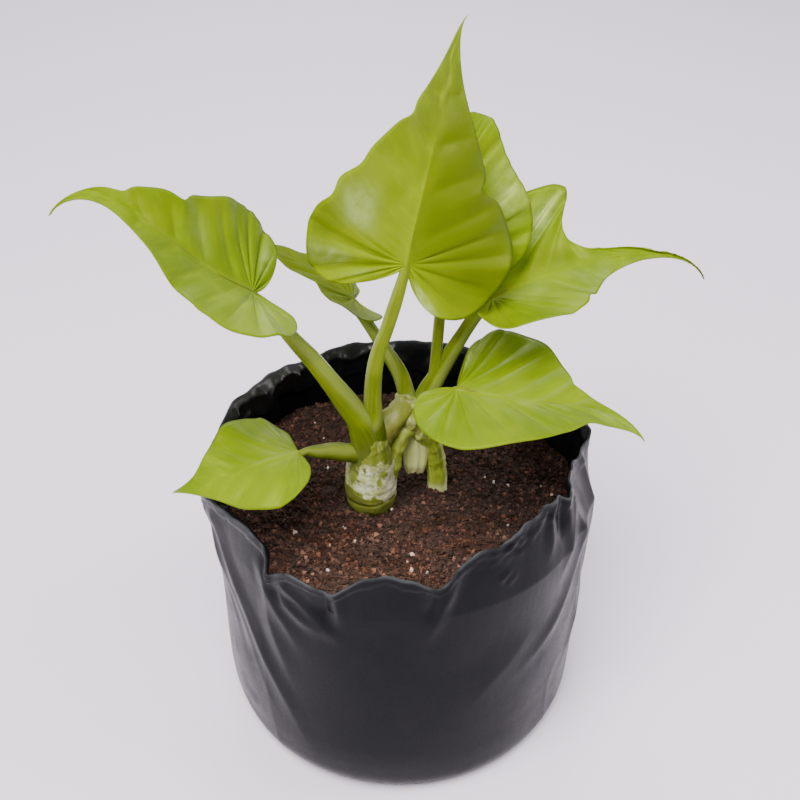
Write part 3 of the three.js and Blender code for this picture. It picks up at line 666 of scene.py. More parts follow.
# Fibres, all at once: thin three-sided tubes along lines that turn, each its middle plus length s along
# heading + bend s, arched up by a squared sine and thinner at both ends by 1 - 0.6 (2 s)^2.
def fibreParts(draw):
    look = mix["fibres"]
    x, y = mixSpots(draw, look["count"], 3)
    count, steps = len(x), look["steps"]
    heading, bend = draw.uniform(0, 2 * np.pi, count), draw.uniform(-look["bend"], look["bend"], count)
    length = draw.uniform(*look["length"], count)
    s = np.linspace(-0.5, 0.5, steps)[None]
    turn = heading[:, None] + bend[:, None] * s
    px = x[:, None] + length[:, None] * s * np.cos(turn)
    py = y[:, None] + length[:, None] * s * np.sin(turn)
    arch = draw.uniform(0, look["arch"], (count, 1)) * np.sin(np.pi * (s + 0.5)) ** 2
    pz = mixTop(px, py) + look["stand"] + arch
    centre = np.stack([px, py, pz], -1)
    along = unit(np.gradient(centre, axis=1))
    side = unit(np.cross(along, [0, 0, 1.0]))
    up = np.cross(side, along)
    radius = (draw.uniform(*look["radius"], (count, 1)) * (1 - 0.6 * np.abs(2 * s) ** 2))[..., None, None]
    angle = np.radians([90, 210, 330])[:, None]
    rings = centre[:, :, None] + radius * (up[:, :, None] * np.sin(angle) + side[:, :, None] * np.cos(angle))
    quads = gridQuads(steps, 3, wrap=True)
    last = (steps - 1) * 3
    ends = np.array([[2, 1, 0], [last, last + 1, last + 2]])
    shift = (np.arange(count) * steps * 3)[:, None, None]
    tones = np.repeat(draw.uniform(0.3, 1.0, count), steps * 3)
    faces = [(quads[None] + shift).reshape(-1, 4), (ends[None] + shift).reshape(-1, 3)]
    return {"points": rings.reshape(-1, 3), "faces": faces, "values": {"tone": tones}}


# Crumbs whose sizes lean to the small end by a power, chips of which a third lie near one spot, and the
# fibres. The draws are made in this order.
def mixLitter():
    draw = np.random.default_rng(mix["seed"])
    look = mix["crumbs"]
    x, y = mixSpots(draw, look["count"])
    size = look["size"][0] + (look["size"][1] - look["size"][0]) * draw.uniform(0, 1, len(x)) ** look["lean"]
    spots = np.stack([x, y, mixTop(x, y) + size * look["rest"]], -1)
    tones = np.where(draw.uniform(0, 1, len(x)) < look["paleShare"], draw.uniform(*look["pale"], len(x)),
                     draw.beta(1, 3, len(x)))
    fine = scatter(crumbForm, crumbFaces, spots, size, draw, tones)
    look = mix["chips"]
    nx, ny, spread = look["near"]
    x, y = mixSpots(draw, look["count"], 3)
    third = len(x) // 3
    for axis, middle in ((x, nx), (y, ny)):
        axis[:third] = middle + draw.normal(size=third) * spread * 0.45
    size = draw.uniform(*look["size"], len(x))
    spots = np.stack([x, y, mixTop(x, y) + size * look["rest"]], -1)
    chips = scatter(crumbForm * look["form"], crumbFaces, spots, size, draw, draw.beta(1.6, 3.2, len(x)))
    return fine, chips, fibreParts(draw)


# White grains: those placed from the photo, then seeded smaller ones.
def perliteParts():
    draw = np.random.default_rng(mix["seed"] + 1)
    look = mix["grains"]
    form, faces = grainForm()
    x, y = mixSpots(draw, look["count"], 2)
    placed = np.array(look["placed"])
    size = np.concatenate([placed[:, 2] * look["scale"], draw.uniform(*look["size"], len(x))])
    x, y = np.concatenate([placed[:, 0], x]), np.concatenate([placed[:, 1], y])
    spots = np.stack([x, y, mixTop(x, y) + size * look["rest"]], -1)
    return scatter(form, faces, spots, size, draw, draw.uniform(0.2, 1, len(x)), 0.14)


# Potting mix: crumbs from near black to rusty, with painted shade that darkens them towards the back and the right,
# where the leaves shade the mix.
def mixNodes(n):
    spot = n.add("SeparateXYZ", {0: n.place()}).outputs
    slant = n.plus(spot["Y"], n.times(spot["X"], 0.4))
    stray = n.times(n.noise(16, 2.0), 16.0)
    # painted shade: the mix turns darker towards the back and the right
    painted_shade = n.between(n.plus(slant, stray), -28.0, 18.0)
    skin = n.use(crumbs, Tone=n.value("tone"), Dark=(0.007, 0.0025, 0.0018),
                 Light=n.blend(painted_shade, (0.29, 0.145, 0.11), (0.16, 0.07, 0.052)),
                 Warm=n.blend(painted_shade, (0.23, 0.085, 0.045), (0.12, 0.042, 0.022)))
    return fed(n, skin, 0.3)


# Perlite: off-white, with a brown cast where it is dirty.
def perliteNodes(n):
    skin = n.use(crumbs, Tone=n.value("tone"), Dark=(0.42, 0.3, 0.26), Light=(0.8, 0.74, 0.7), Warm=(0.66, 0.5, 0.44))
    return fed(n, skin, 0.2)


pottingMix = newMaterial("potting mix", {"Specular IOR Level": 0.35}, mixNodes)
perlite = newMaterial("perlite", {"Specular IOR Level": 0.4}, perliteNodes)
addPiece("mix_top", mixPart(), [pottingMix], ["potting_mix"])
fine, chips, fibres = mixLitter()
addPiece("mix_crumbs", fine, [pottingMix], soft=False)
addPiece("mix_chips", chips, [pottingMix], soft=False)
addPiece("mix_fibres", fibres, [pottingMix])
addPiece("mix_perlite", perliteParts(), [perlite])
print("bag and mix made")


# Stems, as [x, y, z, radius] going up, as in their solids.
stems = {
    "main": [[-8.8, -2.6, 52, 5.6], [-8.9, -2.8, 64, 6], [-9, -3, 71.5, 6.5], [-9, -3.2, 75.5, 7.6],
             [-9, -3.5, 80, 8.1], [-9, -4.2, 86, 7.8], [-8.8, -5.4, 91.5, 6.9], [-8.8, -6.6, 96, 5.9],
             [-9, -7.4, 100.5, 4.9], [-9.2, -7.7, 104.5, 3.4], [-9.2, -7.8, 107, 1.6]],
    "strut": [[-3.4, -5.6, 83.6, 1.6], [-2, -4.6, 87, 1.9], [-1.4, -3.2, 91.5, 2.1], [-0.2, -1.8, 95.6, 2.4],
              [2, 0.4, 99, 2.8], [5, 3, 101.4, 3]],
    "bridge": [[-7.6, -4.4, 96.5, 3.4], [-5.8, -3.7, 99.6, 4], [-3.4, -2, 102.4, 3.9], [-0.6, 0.4, 103.9, 3.6],
               [1.6, 3, 104.4, 3.3]],
    "nub": [[-4, -1.6, 102.6, 1.7], [-4.5, -1.1, 104.9, 1.6], [-4.7, -0.9, 106.4, 0.9]],
    "shoot": [[12.2, 4.2, 54, 2.6], [12, 4, 72, 3.1], [11.4, 3.9, 82, 3.1], [9.6, 3.8, 91, 3.4],
              [6.5, 3.7, 97.5, 4.8], [3.2, 3.8, 101.5, 5.4], [1.2, 4.4, 105, 4.2], [0.6, 5, 108, 2]],
    "sides": 96, "steps": 14, "lumps": 0.15,
    # Ring scars as height, relief and slant
    "scars": [(77.4, -0.3, 0.8), (83.5, -0.2, -1), (91, -0.15, 1), (98.5, 0.15, 1)], "scarWidth": 0.7,
    # Patches on the main stem as strength, angle from the front, its spread, height and its spread
    "greenLeft": [(1, -48, 15, 91, 5.5)], "greenRight": [(1, 34, 10, 89.6, 1.1), (0.6, 22, 9, 86.8, 1.6)],
    "flecks": [(1, -13, 2.0, 93.6, 1.9), (1, -14, 3.4, 91.8, 0.7)],
}


# A stem's line and radii, both smooth through the stations.
def stemLine(stations, steps):
    line = curveThrough(stations, steps)
    return line[:, :3], line[:, 3]


# Angles round a tube in degrees, 0 at its front and growing towards +X.
def frontAngle(part):
    return (part["values"]["turn"] * 360 + 180) % 360 - 180


# Patches on a stem, added up: strength times a bell of the angle times a bell of the height.
def patches(angle, z, spots):
    return sum(strength * bell(angle - at, spread) * bell(z - level, tall)
               for strength, at, spread, level, tall in spots)


# The old stem: a tube with ring scars and lumps. Its green and pale parts and its flecks are kept as
# values: bells and steps of the height and of the angle from the front, moved about by a random field.
def mainStemPart():
    line, radii = stemLine(stems["main"], stems["steps"])
    level = line[:, 2]

    # Scars are bells of the height less a slant that goes round as a sine; the lumps are random fields
    def extra(angle, row):
        z = level[row]
        spot = np.stack([8 * np.sin(angle), 8 * np.cos(angle), z], -1)
        tilt = 1.2 * np.sin(angle + 0.6)
        scars = sum(depth * bell(z - at - tilt * way, stems["scarWidth"]) for at, depth, way in stems["scars"])
        return scars + stems["lumps"] * randomField(spot, 5, seed=61) + 0.06 * randomField(spot, 1.6, seed=62)

    part = tube(line, radii, stems["sides"], (0, -1, 0), extra=extra)
    angle, spot = frontAngle(part), part["points"]
    z = spot[:, 2]
    stray = randomField(spot, 4.5, seed=63)
    low = smooth(1.4, -1.4, z - (80.2 - 0.05 * np.clip(angle, -60, 60)) + 1.1 * stray)
    high = smooth(-2.8, 2.6, z - 95.6 + 0.03 * angle + 1.5 * stray)
    behind = smooth(75, 115, np.abs(angle)) * smooth(-0.3, 0.7, stray)
    left, right, fleck = (patches(angle, z, stems[name]) for name in ("greenLeft", "greenRight", "flecks"))
    broken = smooth(-0.1, 0.6, randomField(spot, 1.7, seed=64))
    dotted = bell(z - (86 - 0.05 * angle), 0.55) * smooth(-42, -32, angle) * smooth(26, 16, angle) * broken
    spots = smooth(0.95, 1.25, randomField(spot, 2.1, seed=65)) * 0.7
    pink = smooth(14, 44, angle) * smooth(91, 87, z) * (1 - low)
    part["values"].update({"green": np.clip(low + high + (left + behind) + right, 0, 1), "low": low, "high": high,
                           "fleck": np.clip(fleck + dotted + spots * (1 - high), 0, 1), "pink": pink})
    return part


# What joins the two crowns: lumpy tubes with a few ridges along them, each by its name in stems.
def joinPart(name):
    line, radii = stemLine(stems[name], 8)

    # Five ridges as a cosine of five times the angle, with coarse and fine lumps
    def extra(angle, row):
        spot = line[row] + np.stack([2 * np.sin(angle), 2 * np.cos(angle), 0 * angle], -1)
        lumps = 0.1 * np.cos(5 * angle) + 0.24 * randomField(spot, 3.6, seed=66)
        return lumps + 0.08 * randomField(spot, 1.1, seed=67)

    part = tube(line, radii, 40, (0, -1, 0), extra=extra)
    spot, values = part["points"], part["values"]
    values["high"] = values["green"] = np.ones(len(spot))
    values["low"] = np.full(len(spot), 0.35 if name == "strut" else 1.1)
    if name == "nub":
        values["brown"] = np.full(len(spot), 0.7)
    if name == "bridge":
        speck = bell(np.linalg.norm(spot - [-3.6, -4.4, 101], axis=-1), 1.9)
        values["brown"] = np.clip(speck + 0.2 * smooth(0.1, 0.9, randomField(spot, 2.6, seed=68)), 0, 1)
    return part


# Bark: cream, with green skin where the values say so, pinkish low on the right, and dark flecks.
def barkNodes(n):
    cream = n.blend(n.between(n.noise(2.6, 4.0), 0.35, 0.65), (0.5, 0.53, 0.2), (0.74, 0.77, 0.5))
    cream = n.blend(n.times(n.value("pink"), 0.6), cream, (0.66, 0.56, 0.48))
    skin = n.use(plantSkin, Across=n.times(n.value("turn"), 30.0), Along=n.times(n.value("share"), 9.0),
                 Streaks=0.6, Bright=(0.27, 0.32, 0.03), Deep=(0.17, 0.21, 0.015), Pale=(0.42, 0.46, 0.17))
    olive = n.blend(n.times(n.value("low"), 0.75), skin["Color"], (0.15, 0.165, 0.012))
    broken = n.between(n.plus(n.value("green"), n.times(n.noise(0.9, 4.0, rough=0.7), 0.9)), 0.56, 0.9)
    colour = n.blend(broken, cream, olive)
    colour = n.blend(n.between(n.value("fleck"), 0.3, 0.95, (0.0, 0.85)), colour, (0.06, 0.07, 0.03))
    speckle = n.between(n.noise(0.7, 3.0, rough=0.7), 0.5, 0.66, (0.0, 0.5))
    colour = n.blend(speckle, colour, (0.2, 0.24, 0.05))
    rusty = n.times(n.value("brown"), n.between(n.noise(1.3, 3.0), 0.3, 0.6))
    colour = n.blend(rusty, colour, (0.33, 0.18, 0.1))
    height = n.plus(n.times(n.noise(1.2, 5.0, n.place((1, 1, 0.5)), 0.6), 0.8), n.times(skin["Height"], 0.2))
    return {"Base Color": colour, "Roughness": n.between(n.value("high"), 0.0, 1.0, (0.72, 0.42)),
            "Normal": n.relief(height, 0.25, 0.6)}


bark = newMaterial("stem bark", {"Specular IOR Level": 0.4}, barkNodes)
joins = [joinPart(name) for name in ("strut", "bridge", "nub")]
addPiece("stem_main", joined([mainStemPart(), *joins]), [bark], ["main_stem"])


# The side shoot: a tube with a lumpy crown and two rings. It is pale on its right side and at its foot.
def shootPart():
    line, radii = stemLine(stems["shoot"], stems["steps"])
    level = line[:, 2]

    # The rings are bells of the height, and the lumps random fields that grow with the crown
    def extra(angle, row):
        z = level[row]
        spot = np.stack([4 * np.sin(angle), 4 * np.cos(angle), z], -1)
        crown = smooth(92, 98, z)
        rings = 0.25 * bell(z - 84.5 - 0.5 * np.sin(angle), 0.6) + 0.3 * bell(z - 90 + 0.6 * np.cos(angle), 0.7)
        coarse = (0.15 + 0.75 * crown) * randomField(spot, 4.2, seed=71)
        return rings + coarse + (0.06 + 0.22 * crown) * randomField(spot, 1.5, seed=72)

    part = tube(line, radii, 64, (0, -1, 0), extra=extra)
    angle, z = frontAngle(part), part["points"][:, 2]
    pale = smooth(40, 75, angle) * smooth(100, 60, angle) * smooth(94, 90, z)
    part["values"]["pale"] = np.clip(pale + smooth(77, 74, z) * 0.8, 0, 1)
    part["values"]["crown"] = smooth(93, 98, z)
    return part


# The papery leaf base, a flap: bowed in section by 1 - x^2, torn along its foot by sines, thin at its
# edges by 1 - 0.7 x^4 and closed round them.
papery = {"top": [5.6, 1.4, 95], "bottom": [4.4, 0.6, 81.6], "width": 7.8, "thick": 0.7, "bow": 1.1, "grid": (30, 25)}


# The flap's closed surface, across by x from -1 to 1 and up by share.
def paperyPart():
    rows, columns = papery["grid"]
    share, x = np.meshgrid(np.linspace(0, 1, rows), np.linspace(-1, 1, columns), indexing="ij")
    top, bottom = np.array(papery["top"]), np.array(papery["bottom"])
    torn = (1 - share) ** 3 * (0.5 * np.sin(5 * x + 1) + 0.4 * np.sin(11 * x))
    middle = bottom + (top - bottom) * share[..., None]
    reach = papery["width"] / 2 * (0.75 + 0.25 * np.sin(np.pi * share))
    bow = papery["bow"] * (1 - x ** 2) + 0.18 * np.sin(9 * x + 3 * share)
    front = middle + np.stack([x * reach, -bow, torn], -1)
    thick = papery["thick"] * (1 - 0.7 * x ** 4)
    back = front + np.stack([0 * x, thick, 0 * x], -1)
    points = np.vstack([front.reshape(-1, 3), back.reshape(-1, 3)])
    quads = gridQuads(rows, columns)
    shift = rows * columns
    rim = np.concatenate([np.arange(columns), (np.arange(1, rows) + 1) * columns - 1,
                          np.arange(shift - 2, shift - columns - 1, -1), np.arange(rows - 2, 0, -1) * columns])
    after = np.roll(rim, -1)
    walls = np.stack([rim, rim + shift, after + shift, after], -1)
    values = {"turn": np.tile(x.ravel(), 2) * 0.3, "share": np.tile(share.ravel(), 2),
              "dry": np.tile(smooth(0.55, 0.05, share).ravel(), 2), "pale": np.full(2 * shift, 0.75)}
    return {"points": points, "faces": [np.vstack([quads, quads[:, ::-1] + shift, walls])], "values": values}


# Shoot skin: green with a pale side and foot; the dry flap is buff and brown at its torn foot.
def shootNodes(n):
    skin = n.use(plantSkin, Across=n.times(n.value("turn"), 22.0), Along=n.times(n.value("share"), 8.0),
                 Streaks=0.6, Bright=(0.3, 0.37, 0.03), Deep=(0.2, 0.26, 0.012), Pale=(0.46, 0.52, 0.14))
    colour = n.blend(n.times(n.value("pale"), 0.85), skin["Color"], (0.8, 0.83, 0.38))
    brown = n.between(n.plus(n.value("dry"), n.times(n.noise(1.5, 4.0), 0.5)), 0.85, 1.35)
    colour = n.blend(brown, colour, (0.3, 0.27, 0.13))
    blotches = n.times(n.value("crown"), n.between(n.noise(1.6, 4.0, rough=0.6), 0.34, 0.6))
    colour = n.blend(blotches, colour, (0.19, 0.2, 0.06))
    return fed(n, skin, 0.25, 0.8, colour)


shootSkin = newMaterial("shoot skin", {"Specular IOR Level": 0.45, "Coat Weight": 0.1, "Coat Roughness": 0.35},
                        shootNodes)
addPiece("stem_shoot", joined([shootPart(), paperyPart()]), [shootSkin], ["side_shoot"])
print("stems made")


# Leaves. Each has its stalk and its blade, drawn by the same formula as its solid.
# Pairs are for the left and the right half, seen from above with the tip ahead; heading, climb and roll
# are at the stalk and how they change; a wave is half, mark, spread, cut and rise; a crease is half,
# mark, spread and rise; a bloom entry is half, mark, spread, reach, its spread and strength:
# painted sheen, a pale colour, above 0 and painted shade, a darker colour, below 0. ribbed is how strong
# the veins and the quilting are. What a leaf leaves out is plainLeaf's.
leafLook = {
    "thick": 0.45, "rows": 150, "columns": 24, "stalkSteps": 10, "stalkSides": 28,
    "outline": (0.6, 0.25, 0.15),  # marks that the side, the lobe's back and its inner edge take
    "scallops": (0.45, 10),  # their height and how many half waves
    "veins": [0.1, 0.18, 0.26, 0.34, 0.43, 0.52, 0.62, 0.72, 0.82, 0.91], "veinStart": (0.48, 1.2),
    "veinDepth": 0.32, "quilt": 0.32, "midrib": 0.3, "channel": 0.2,
    # The stalk's rib as shares of the midrib and of the stalk's last radius, and how deep it lies
    "rib": [[0, 0.8], [0.08, 0.62], [0.2, 0.42], [0.34, 0.26], [0.55, 0.14]], "ribSink": 0.75,
    "foot": (4, 0.95),  # how far the stalk goes on down into the crown, and its width there
}
plainLeaf = {"lobeBend": (0, 0), "ribbed": 1}
# Each leaf's bloom list lays painted sheen (pale, above 0) and painted shade (dark, below 0) on its blade.
leaves = {
    "leaf_left": {
        "sinus": [-39.3, -10.7, 152.7],
        "stalk": [[-9.3, -6.9, 93, 5], [-9.6, -7.5, 98, 5], [-10.3, -7.9, 103, 4.6], [-11.9, -8.2, 108.6, 4],
                  [-15.7, -8.8, 116, 3.6], [-23.6, -9.6, 129.4, 2.8], [-29.5, -10.1, 137.7, 2.4],
                  [-34.8, -10.4, 146, 2.2]],
        "heading": (198, -1, 10), "climb": (34, 49, -138), "roll": (0, -39), "length": 62,
        "width": (27.5, 27), "fold": (4, 27), "curl": (0, 0), "tip": (0.53, 0.38), "shoulder": (0.35, 0.2),
        "wide": (0.1, 0.08), "lobe": (0.17, 0.115), "lobeAt": (0.3, 0.6),
        "waves": [(1, 0.285, 0.025, 0.16, 1), (1, 0.148, 0.022, 0.25, 0.4), (0, 0.369, 0.03, 0.06, -1)],
        "creases": [(1, 0.72, 0.02, -0.8), (1, 0.61, 0.02, -0.5), (0, 0.62, 0.025, -0.5), (0, 0.45, 0.02, -0.4)],
        "bloom": [(1, 0.78, 0.06, 0.6, 0.3, 0.6), (1, 0.33, 0.05, 0.5, 0.4, 0.3)],
    },
    "leaf_centre": {
        "sinus": [2, -2.5, 156.5],
        "stalk": [[-8.4, -5.6, 92, 3.6], [-7.9, -7.1, 98, 4.1], [-7.7, -7.4, 103, 3.6], [-7.8, -7.5, 109, 3],
                  [-7.9, -7.4, 117, 2.6], [-6.6, -6.9, 129, 2.2], [-3.4, -5.9, 139, 1.9], [-0.4, -4.8, 149, 1.7]],
        "heading": (46, 62, -43), "climb": (77, -68, 0), "roll": (50, -5), "length": 80.5,
        "width": (32, 33.5), "fold": (12, 3), "curl": (12, -35), "tip": (0.58, 0.48), "shoulder": (0.14, 0.22),
        "wide": (0.12, 0.1), "lobe": (0.07, 0.19), "lobeAt": (0.54, 0.48),
        "waves": [(0, 0.253, 0.02, 0.1, 0.6), (0, 0.4, 0.03, 0.04, 0.8), (0, 0.5, 0.03, 0.04, 0.8),
                  (1, 0.381, 0.025, 0.2, 1)],
        "creases": [(0, 0.455, 0.02, -1.3), (0, 0.53, 0.025, 0.9), (0, 0.605, 0.018, -1.4), (0, 0.66, 0.02, 0.8),
                    (0, 0.73, 0.018, -1.1), (0, 0.79, 0.02, 0.7), (1, 0.62, 0.02, -0.4), (1, 0.74, 0.02, -0.5),
                    (1, 0.9, 0.03, 1.2)],
        # Painted sheen on the left half, a pale strip for the underside of the curled-up lobe by the sinus, and
        # painted shade over the right half and near the tip.
        "bloom": [(0, 0.46, 0.06, 0.68, 0.24, 1.0), (0, 0.68, 0.04, 0.78, 0.24, 0.9), (0, 0.79, 0.03, 0.6, 0.25, 0.5),
                  (1, 0.9, 0.03, 0.75, 0.4, 1.6), (1, 0.4, 0.45, 0.6, 0.8, -1.1), (0, 0.15, 0.2, 0.4, 0.6, -0.5)],
    },
    "leaf_right": {
        "sinus": [27.1, 14.7, 136.4],
        "stalk": [[6.4, 5, 103, 3.4], [8.8, 6.8, 108.5, 3.2], [12.1, 8.9, 114, 2.6], [18.7, 11, 125.8, 2.2],
                  [23.6, 13.2, 132.8, 2.1]],
        "heading": (18, -18, 19), "climb": (16, -8, -73), "roll": (11, 15), "length": 73,
        "width": (26.8, 25), "fold": (16, 9), "curl": (22, 24), "tip": (1.15, 0.8), "shoulder": (0.37, 0.36),
        "wide": (0.32, 0.15), "lobe": (0.06, 0.13), "lobeAt": (0.5, 0.5), "lobeBend": (40, 60),
        "waves": [(0, 0.1, 0.03, 0.06, 1), (1, 0.4, 0.04, 0.05, 1)],
        "creases": [(0, 0.44, 0.025, -0.9), (0, 0.56, 0.03, 0.6), (1, 0.55, 0.025, -0.7), (1, 0.36, 0.02, -0.5)],
        "bloom": [(0, 0.5, 0.07, 0.65, 0.25, 1.2), (1, 0.96, 0.05, 0.6, 0.5, 0.7), (0, 0.3, 0.1, 0.35, 0.3, -0.6),
                  (1, 0.45, 0.12, 0.25, 0.25, 0.3)],
    },
    "leaf_front_right": {
        "sinus": [16.7, -2.7, 115.8],
        "stalk": [[6.6, 1.6, 100.5, 2.6], [10, -0.6, 105, 2.3], [13.4, -2.1, 110.4, 2]],
        "heading": (-18, 3, -55), "climb": (-5, 30, -48), "roll": (5, -6), "length": 58.5,
        "width": (26.2, 25.2), "fold": (9, 7), "curl": (6, -11), "tip": (0.62, 0.05), "shoulder": (0.43, 0.36),
        "wide": (0.16, 0.07), "lobe": (0.02, 0.16), "lobeAt": (0.52, 0.4),
        "waves": [(0, 0.22, 0.03, 0.12, 0.8), (1, 0.24, 0.03, 0.04, 0.5)],
        "creases": [(0, 0.62, 0.02, -0.5), (0, 0.74, 0.02, -0.5), (1, 0.56, 0.02, -0.3), (1, 0.3, 0.02, -0.3)],
        "bloom": [(0, 0.77, 0.06, 0.7, 0.3, 1.0), (1, 0.12, 0.08, 0.5, 0.6, 0.4)],
    },
    "leaf_small_left": {
        "sinus": [-29.3, -17.6, 103.8],
        "stalk": [[-13, -8.4, 96.4, 3.2], [-16.9, -9.8, 97.8, 3.1], [-20.6, -11.8, 99.6, 2.7],
                  [-24.2, -14.2, 101.3, 2], [-27, -16, 102.8, 1.2]],
        "heading": (203, -16, -83), "climb": (-2, -30, -10), "roll": (12, -60), "length": 44.6,
        "width": (17.3, 20), "fold": (4, 6), "curl": (-22, -2), "tip": (0.52, 0.47), "shoulder": (0.37, 0.45),
        "wide": (0.15, 0.17), "lobe": (0.01, 0.01), "lobeAt": (0.47, 0.47),
        "waves": [(1, 0.275, 0.03, 0.02, 0.4)], "ribbed": 0.35,
        "creases": [(1, 0.6, 0.02, -0.3), (0, 0.55, 0.02, -0.3)],
        "bloom": [(1, 0.68, 0.1, 0.6, 0.3, 0.35)],
    },
    "leaf_behind": {
        "sinus": [13.4, 19, 147],
        "stalk": [[8.6, 6.4, 104, 2.4], [10.4, 8.2, 112, 2], [11.1, 11.2, 121, 1.7], [12, 15, 132, 1.6]],
        "heading": (62, 25, -10), "climb": (76, -22, -25), "roll": (26, 0), "length": 46.2,
        "width": (19, 24), "fold": (-30, 3), "curl": (-20, 0), "tip": (0.45, 0.12), "shoulder": (0.3, 0.36),
        "wide": (0.12, 0.24), "lobe": (0.06, 0.1), "lobeAt": (0.5, 0.5),
        "waves": [(1, 0.22, 0.04, 0.05, 1), (1, 0.19, 0.09, -0.33, 0), (1, 0.05, 0.035, 0.4, 0)],
        "creases": [(1, 0.2, 0.014, 0.6), (1, 0.27, 0.014, -0.6), (1, 0.34, 0.014, 0.7), (1, 0.41, 0.014, -0.6),
                    (1, 0.5, 0.018, 0.6), (1, 0.6, 0.02, -0.5)],
        "bloom": [(1, 0.42, 0.12, 0.8, 0.3, 0.6)],
    },
    "leaf_back_left": {
        "sinus": [-14.3, 24, 130.6],
        "stalk": [[2.6, 6.4, 105, 2.7], [0, 9.4, 112.6, 2.4], [-5, 14, 119.4, 2.1], [-10.6, 19.6, 125.8, 1.8]],
        "heading": (166, 0, 0), "climb": (38, -32, -20), "roll": (21, 0), "length": 50,
        "width": (18, 19), "fold": (0, 2), "curl": (0, 5), "tip": (0.5, 0.5), "shoulder": (0.3, 0.3),
        "wide": (0.12, 0.12), "lobe": (0.2, 0.03), "lobeAt": (0.45, 0.5), "lobeBend": (35, 0),
        "waves": [(0, 0.5, 0.05, 0.06, 1)],
        "creases": [(0, 0.6, 0.02, -0.4), (1, 0.6, 0.02, -0.4)],
        # Painted shade over the whole leaf.
        "bloom": [(0, 0.4, 0.6, 0.5, 1, -1.5), (1, 0.4, 0.6, 0.5, 1, -1.5)],
    },
}


# Points of a cubic curve, from its four corners.
def cubic(corners, t):
    s = 1 - t
    return np.stack([s ** 3, 3 * s * s * t, 3 * s * t * t, t ** 3], -1) @ np.asarray(corners, float)


# Shares of the length and of the half width at marks, from 0 at the tip to 1 at the sinus. Three cubic
# curves: from the tip to the widest place, round the lobe's back, and in to the sinus.
def halfOutline(leaf, half, mark):
    tip, shoulder, wide, lobe, at = (leaf[key][half] for key in ("tip", "shoulder", "wide", "lobe", "lobeAt"))
    reach = (wide + lobe) / 2
    widest, around, inside = leafLook["outline"]
    turned = widest + around
    side = cubic([[1, 0], [1 - tip, 0], [wide + shoulder, 1], [wide, 1]], np.clip(mark / widest, 0, 1))
    back = cubic([[wide, 1], [wide - reach, 1], [-lobe, at + 0.55 * (1 - at)], [-lobe, at]],
                 np.clip((mark - widest) / around, 0, 1))
    inner = cubic([[-lobe, at], [-lobe, 0.45 * at], [-0.45 * lobe, 0.02], [0, 0]],
                  np.clip((mark - turned) / inside, 0, 1))
    mark = np.asarray(mark)[..., None]
    return np.where(mark <= widest, side, np.where(mark <= turned, back, inner))


# Where the vein to a mark leaves the midrib: (1 - mark / span) to a power, 0 past the span.
def veinStart(mark):
    span, power = leafLook["veinStart"]
    return np.maximum(0, 1 - mark / span) ** power


# The midrib's centres, its first way along, and the ways left and up, at even steps. Heading and climb
# change evenly along it and by the fourth power towards the tip, and roll evenly.
def midribFrames(leaf, steps=60):
    a = np.linspace(0, 1, steps + 1)
    heading, climb = (np.radians(leaf[key][0] + leaf[key][1] * a + leaf[key][2] * a ** 4)
                      for key in ("heading", "climb"))
    roll = np.radians(leaf["roll"][0] + leaf["roll"][1] * a)[:, None]
    along = np.stack([np.cos(climb) * np.cos(heading), np.cos(climb) * np.sin(heading), np.sin(climb)], -1)
    level = np.stack([-np.sin(heading), np.cos(heading), 0 * a], -1)
    over = np.cross(along, level)
    moves = (along[1:] + along[:-1]) * 0.5 * leaf["length"] / steps
    centres = np.vstack([[0, 0, 0], np.cumsum(moves, 0)]) + leaf["sinus"]
    return {"centre": centres, "along": along[0], "left": level * np.cos(roll) + over * np.sin(roll),
            "up": over * np.cos(roll) - level * np.sin(roll)}


# A frame's vectors at shares a of the midrib, straight between its steps.
def frameAt(frames, name, a):
    at = np.clip(a, 0, 1) * (len(frames[name]) - 1)
    low = np.minimum(at.astype(int), len(frames[name]) - 2)
    share = (at - low)[..., None]
    return frames[name][low] * (1 - share) + frames[name][low + 1] * share


# The upper face at marks along the margin and reaches along a vein from the midrib, 0, to the margin, 1.
# A half is folded up by an angle, and the curl is added to it evenly from the midrib to the margin.
# Scallops lift the margin by a sine of the mark; waves cut it in and lift it; creases lift it along a
# vein; a lobe bends up behind the sinus.
def bladePoints(leaf, frames, half, mark, reach):
    edge, start = halfOutline(leaf, half, mark), veinStart(mark)
    scale = np.ones_like(mark)
    high, count = leafLook["scallops"]
    lift = high * np.sin(count * np.pi * mark) * np.sin(np.pi * mark)
    for which, at, spread, cut, rise in leaf["waves"]:
        bump = bell(mark - at, spread) * (which == half)
        scale = scale * (1 - cut * bump)
        lift = lift + rise * bump
    crease = sum(depth * bell(mark - at, spread) * (which == half) for which, at, spread, depth in leaf["creases"])
    width = leaf["width"][half]
    a = start + (edge[..., 0] - start) * scale * reach
    across = edge[..., 1] * width * scale * reach
    points = frameAt(frames, "centre", a)
    lobe, bend = leaf["lobe"][half], math.radians(leaf["lobeBend"][half]) or 1e-6
    turn = bend * np.maximum(-a, 0) / lobe
    size = lobe * leaf["length"] / bend
    points = points - frames["along"] * (np.sin(turn) * size)[..., None]
    points = points + frames["up"][0] * ((1 - np.cos(turn)) * size)[..., None]
    fold = math.radians(leaf["fold"][half])
    bent = (math.radians(leaf["curl"][half]) or 1e-6) / width
    out = (np.sin(fold + bent * across) - math.sin(fold)) / bent
    rise = (math.cos(fold) - np.cos(fold + bent * across)) / bent + lift * reach ** 2 + crease * reach
    way = 1 if half == 0 else -1
    return points + frameAt(frames, "left", a) * (way * out)[..., None] + frameAt(frames, "up", a) * rise[..., None]


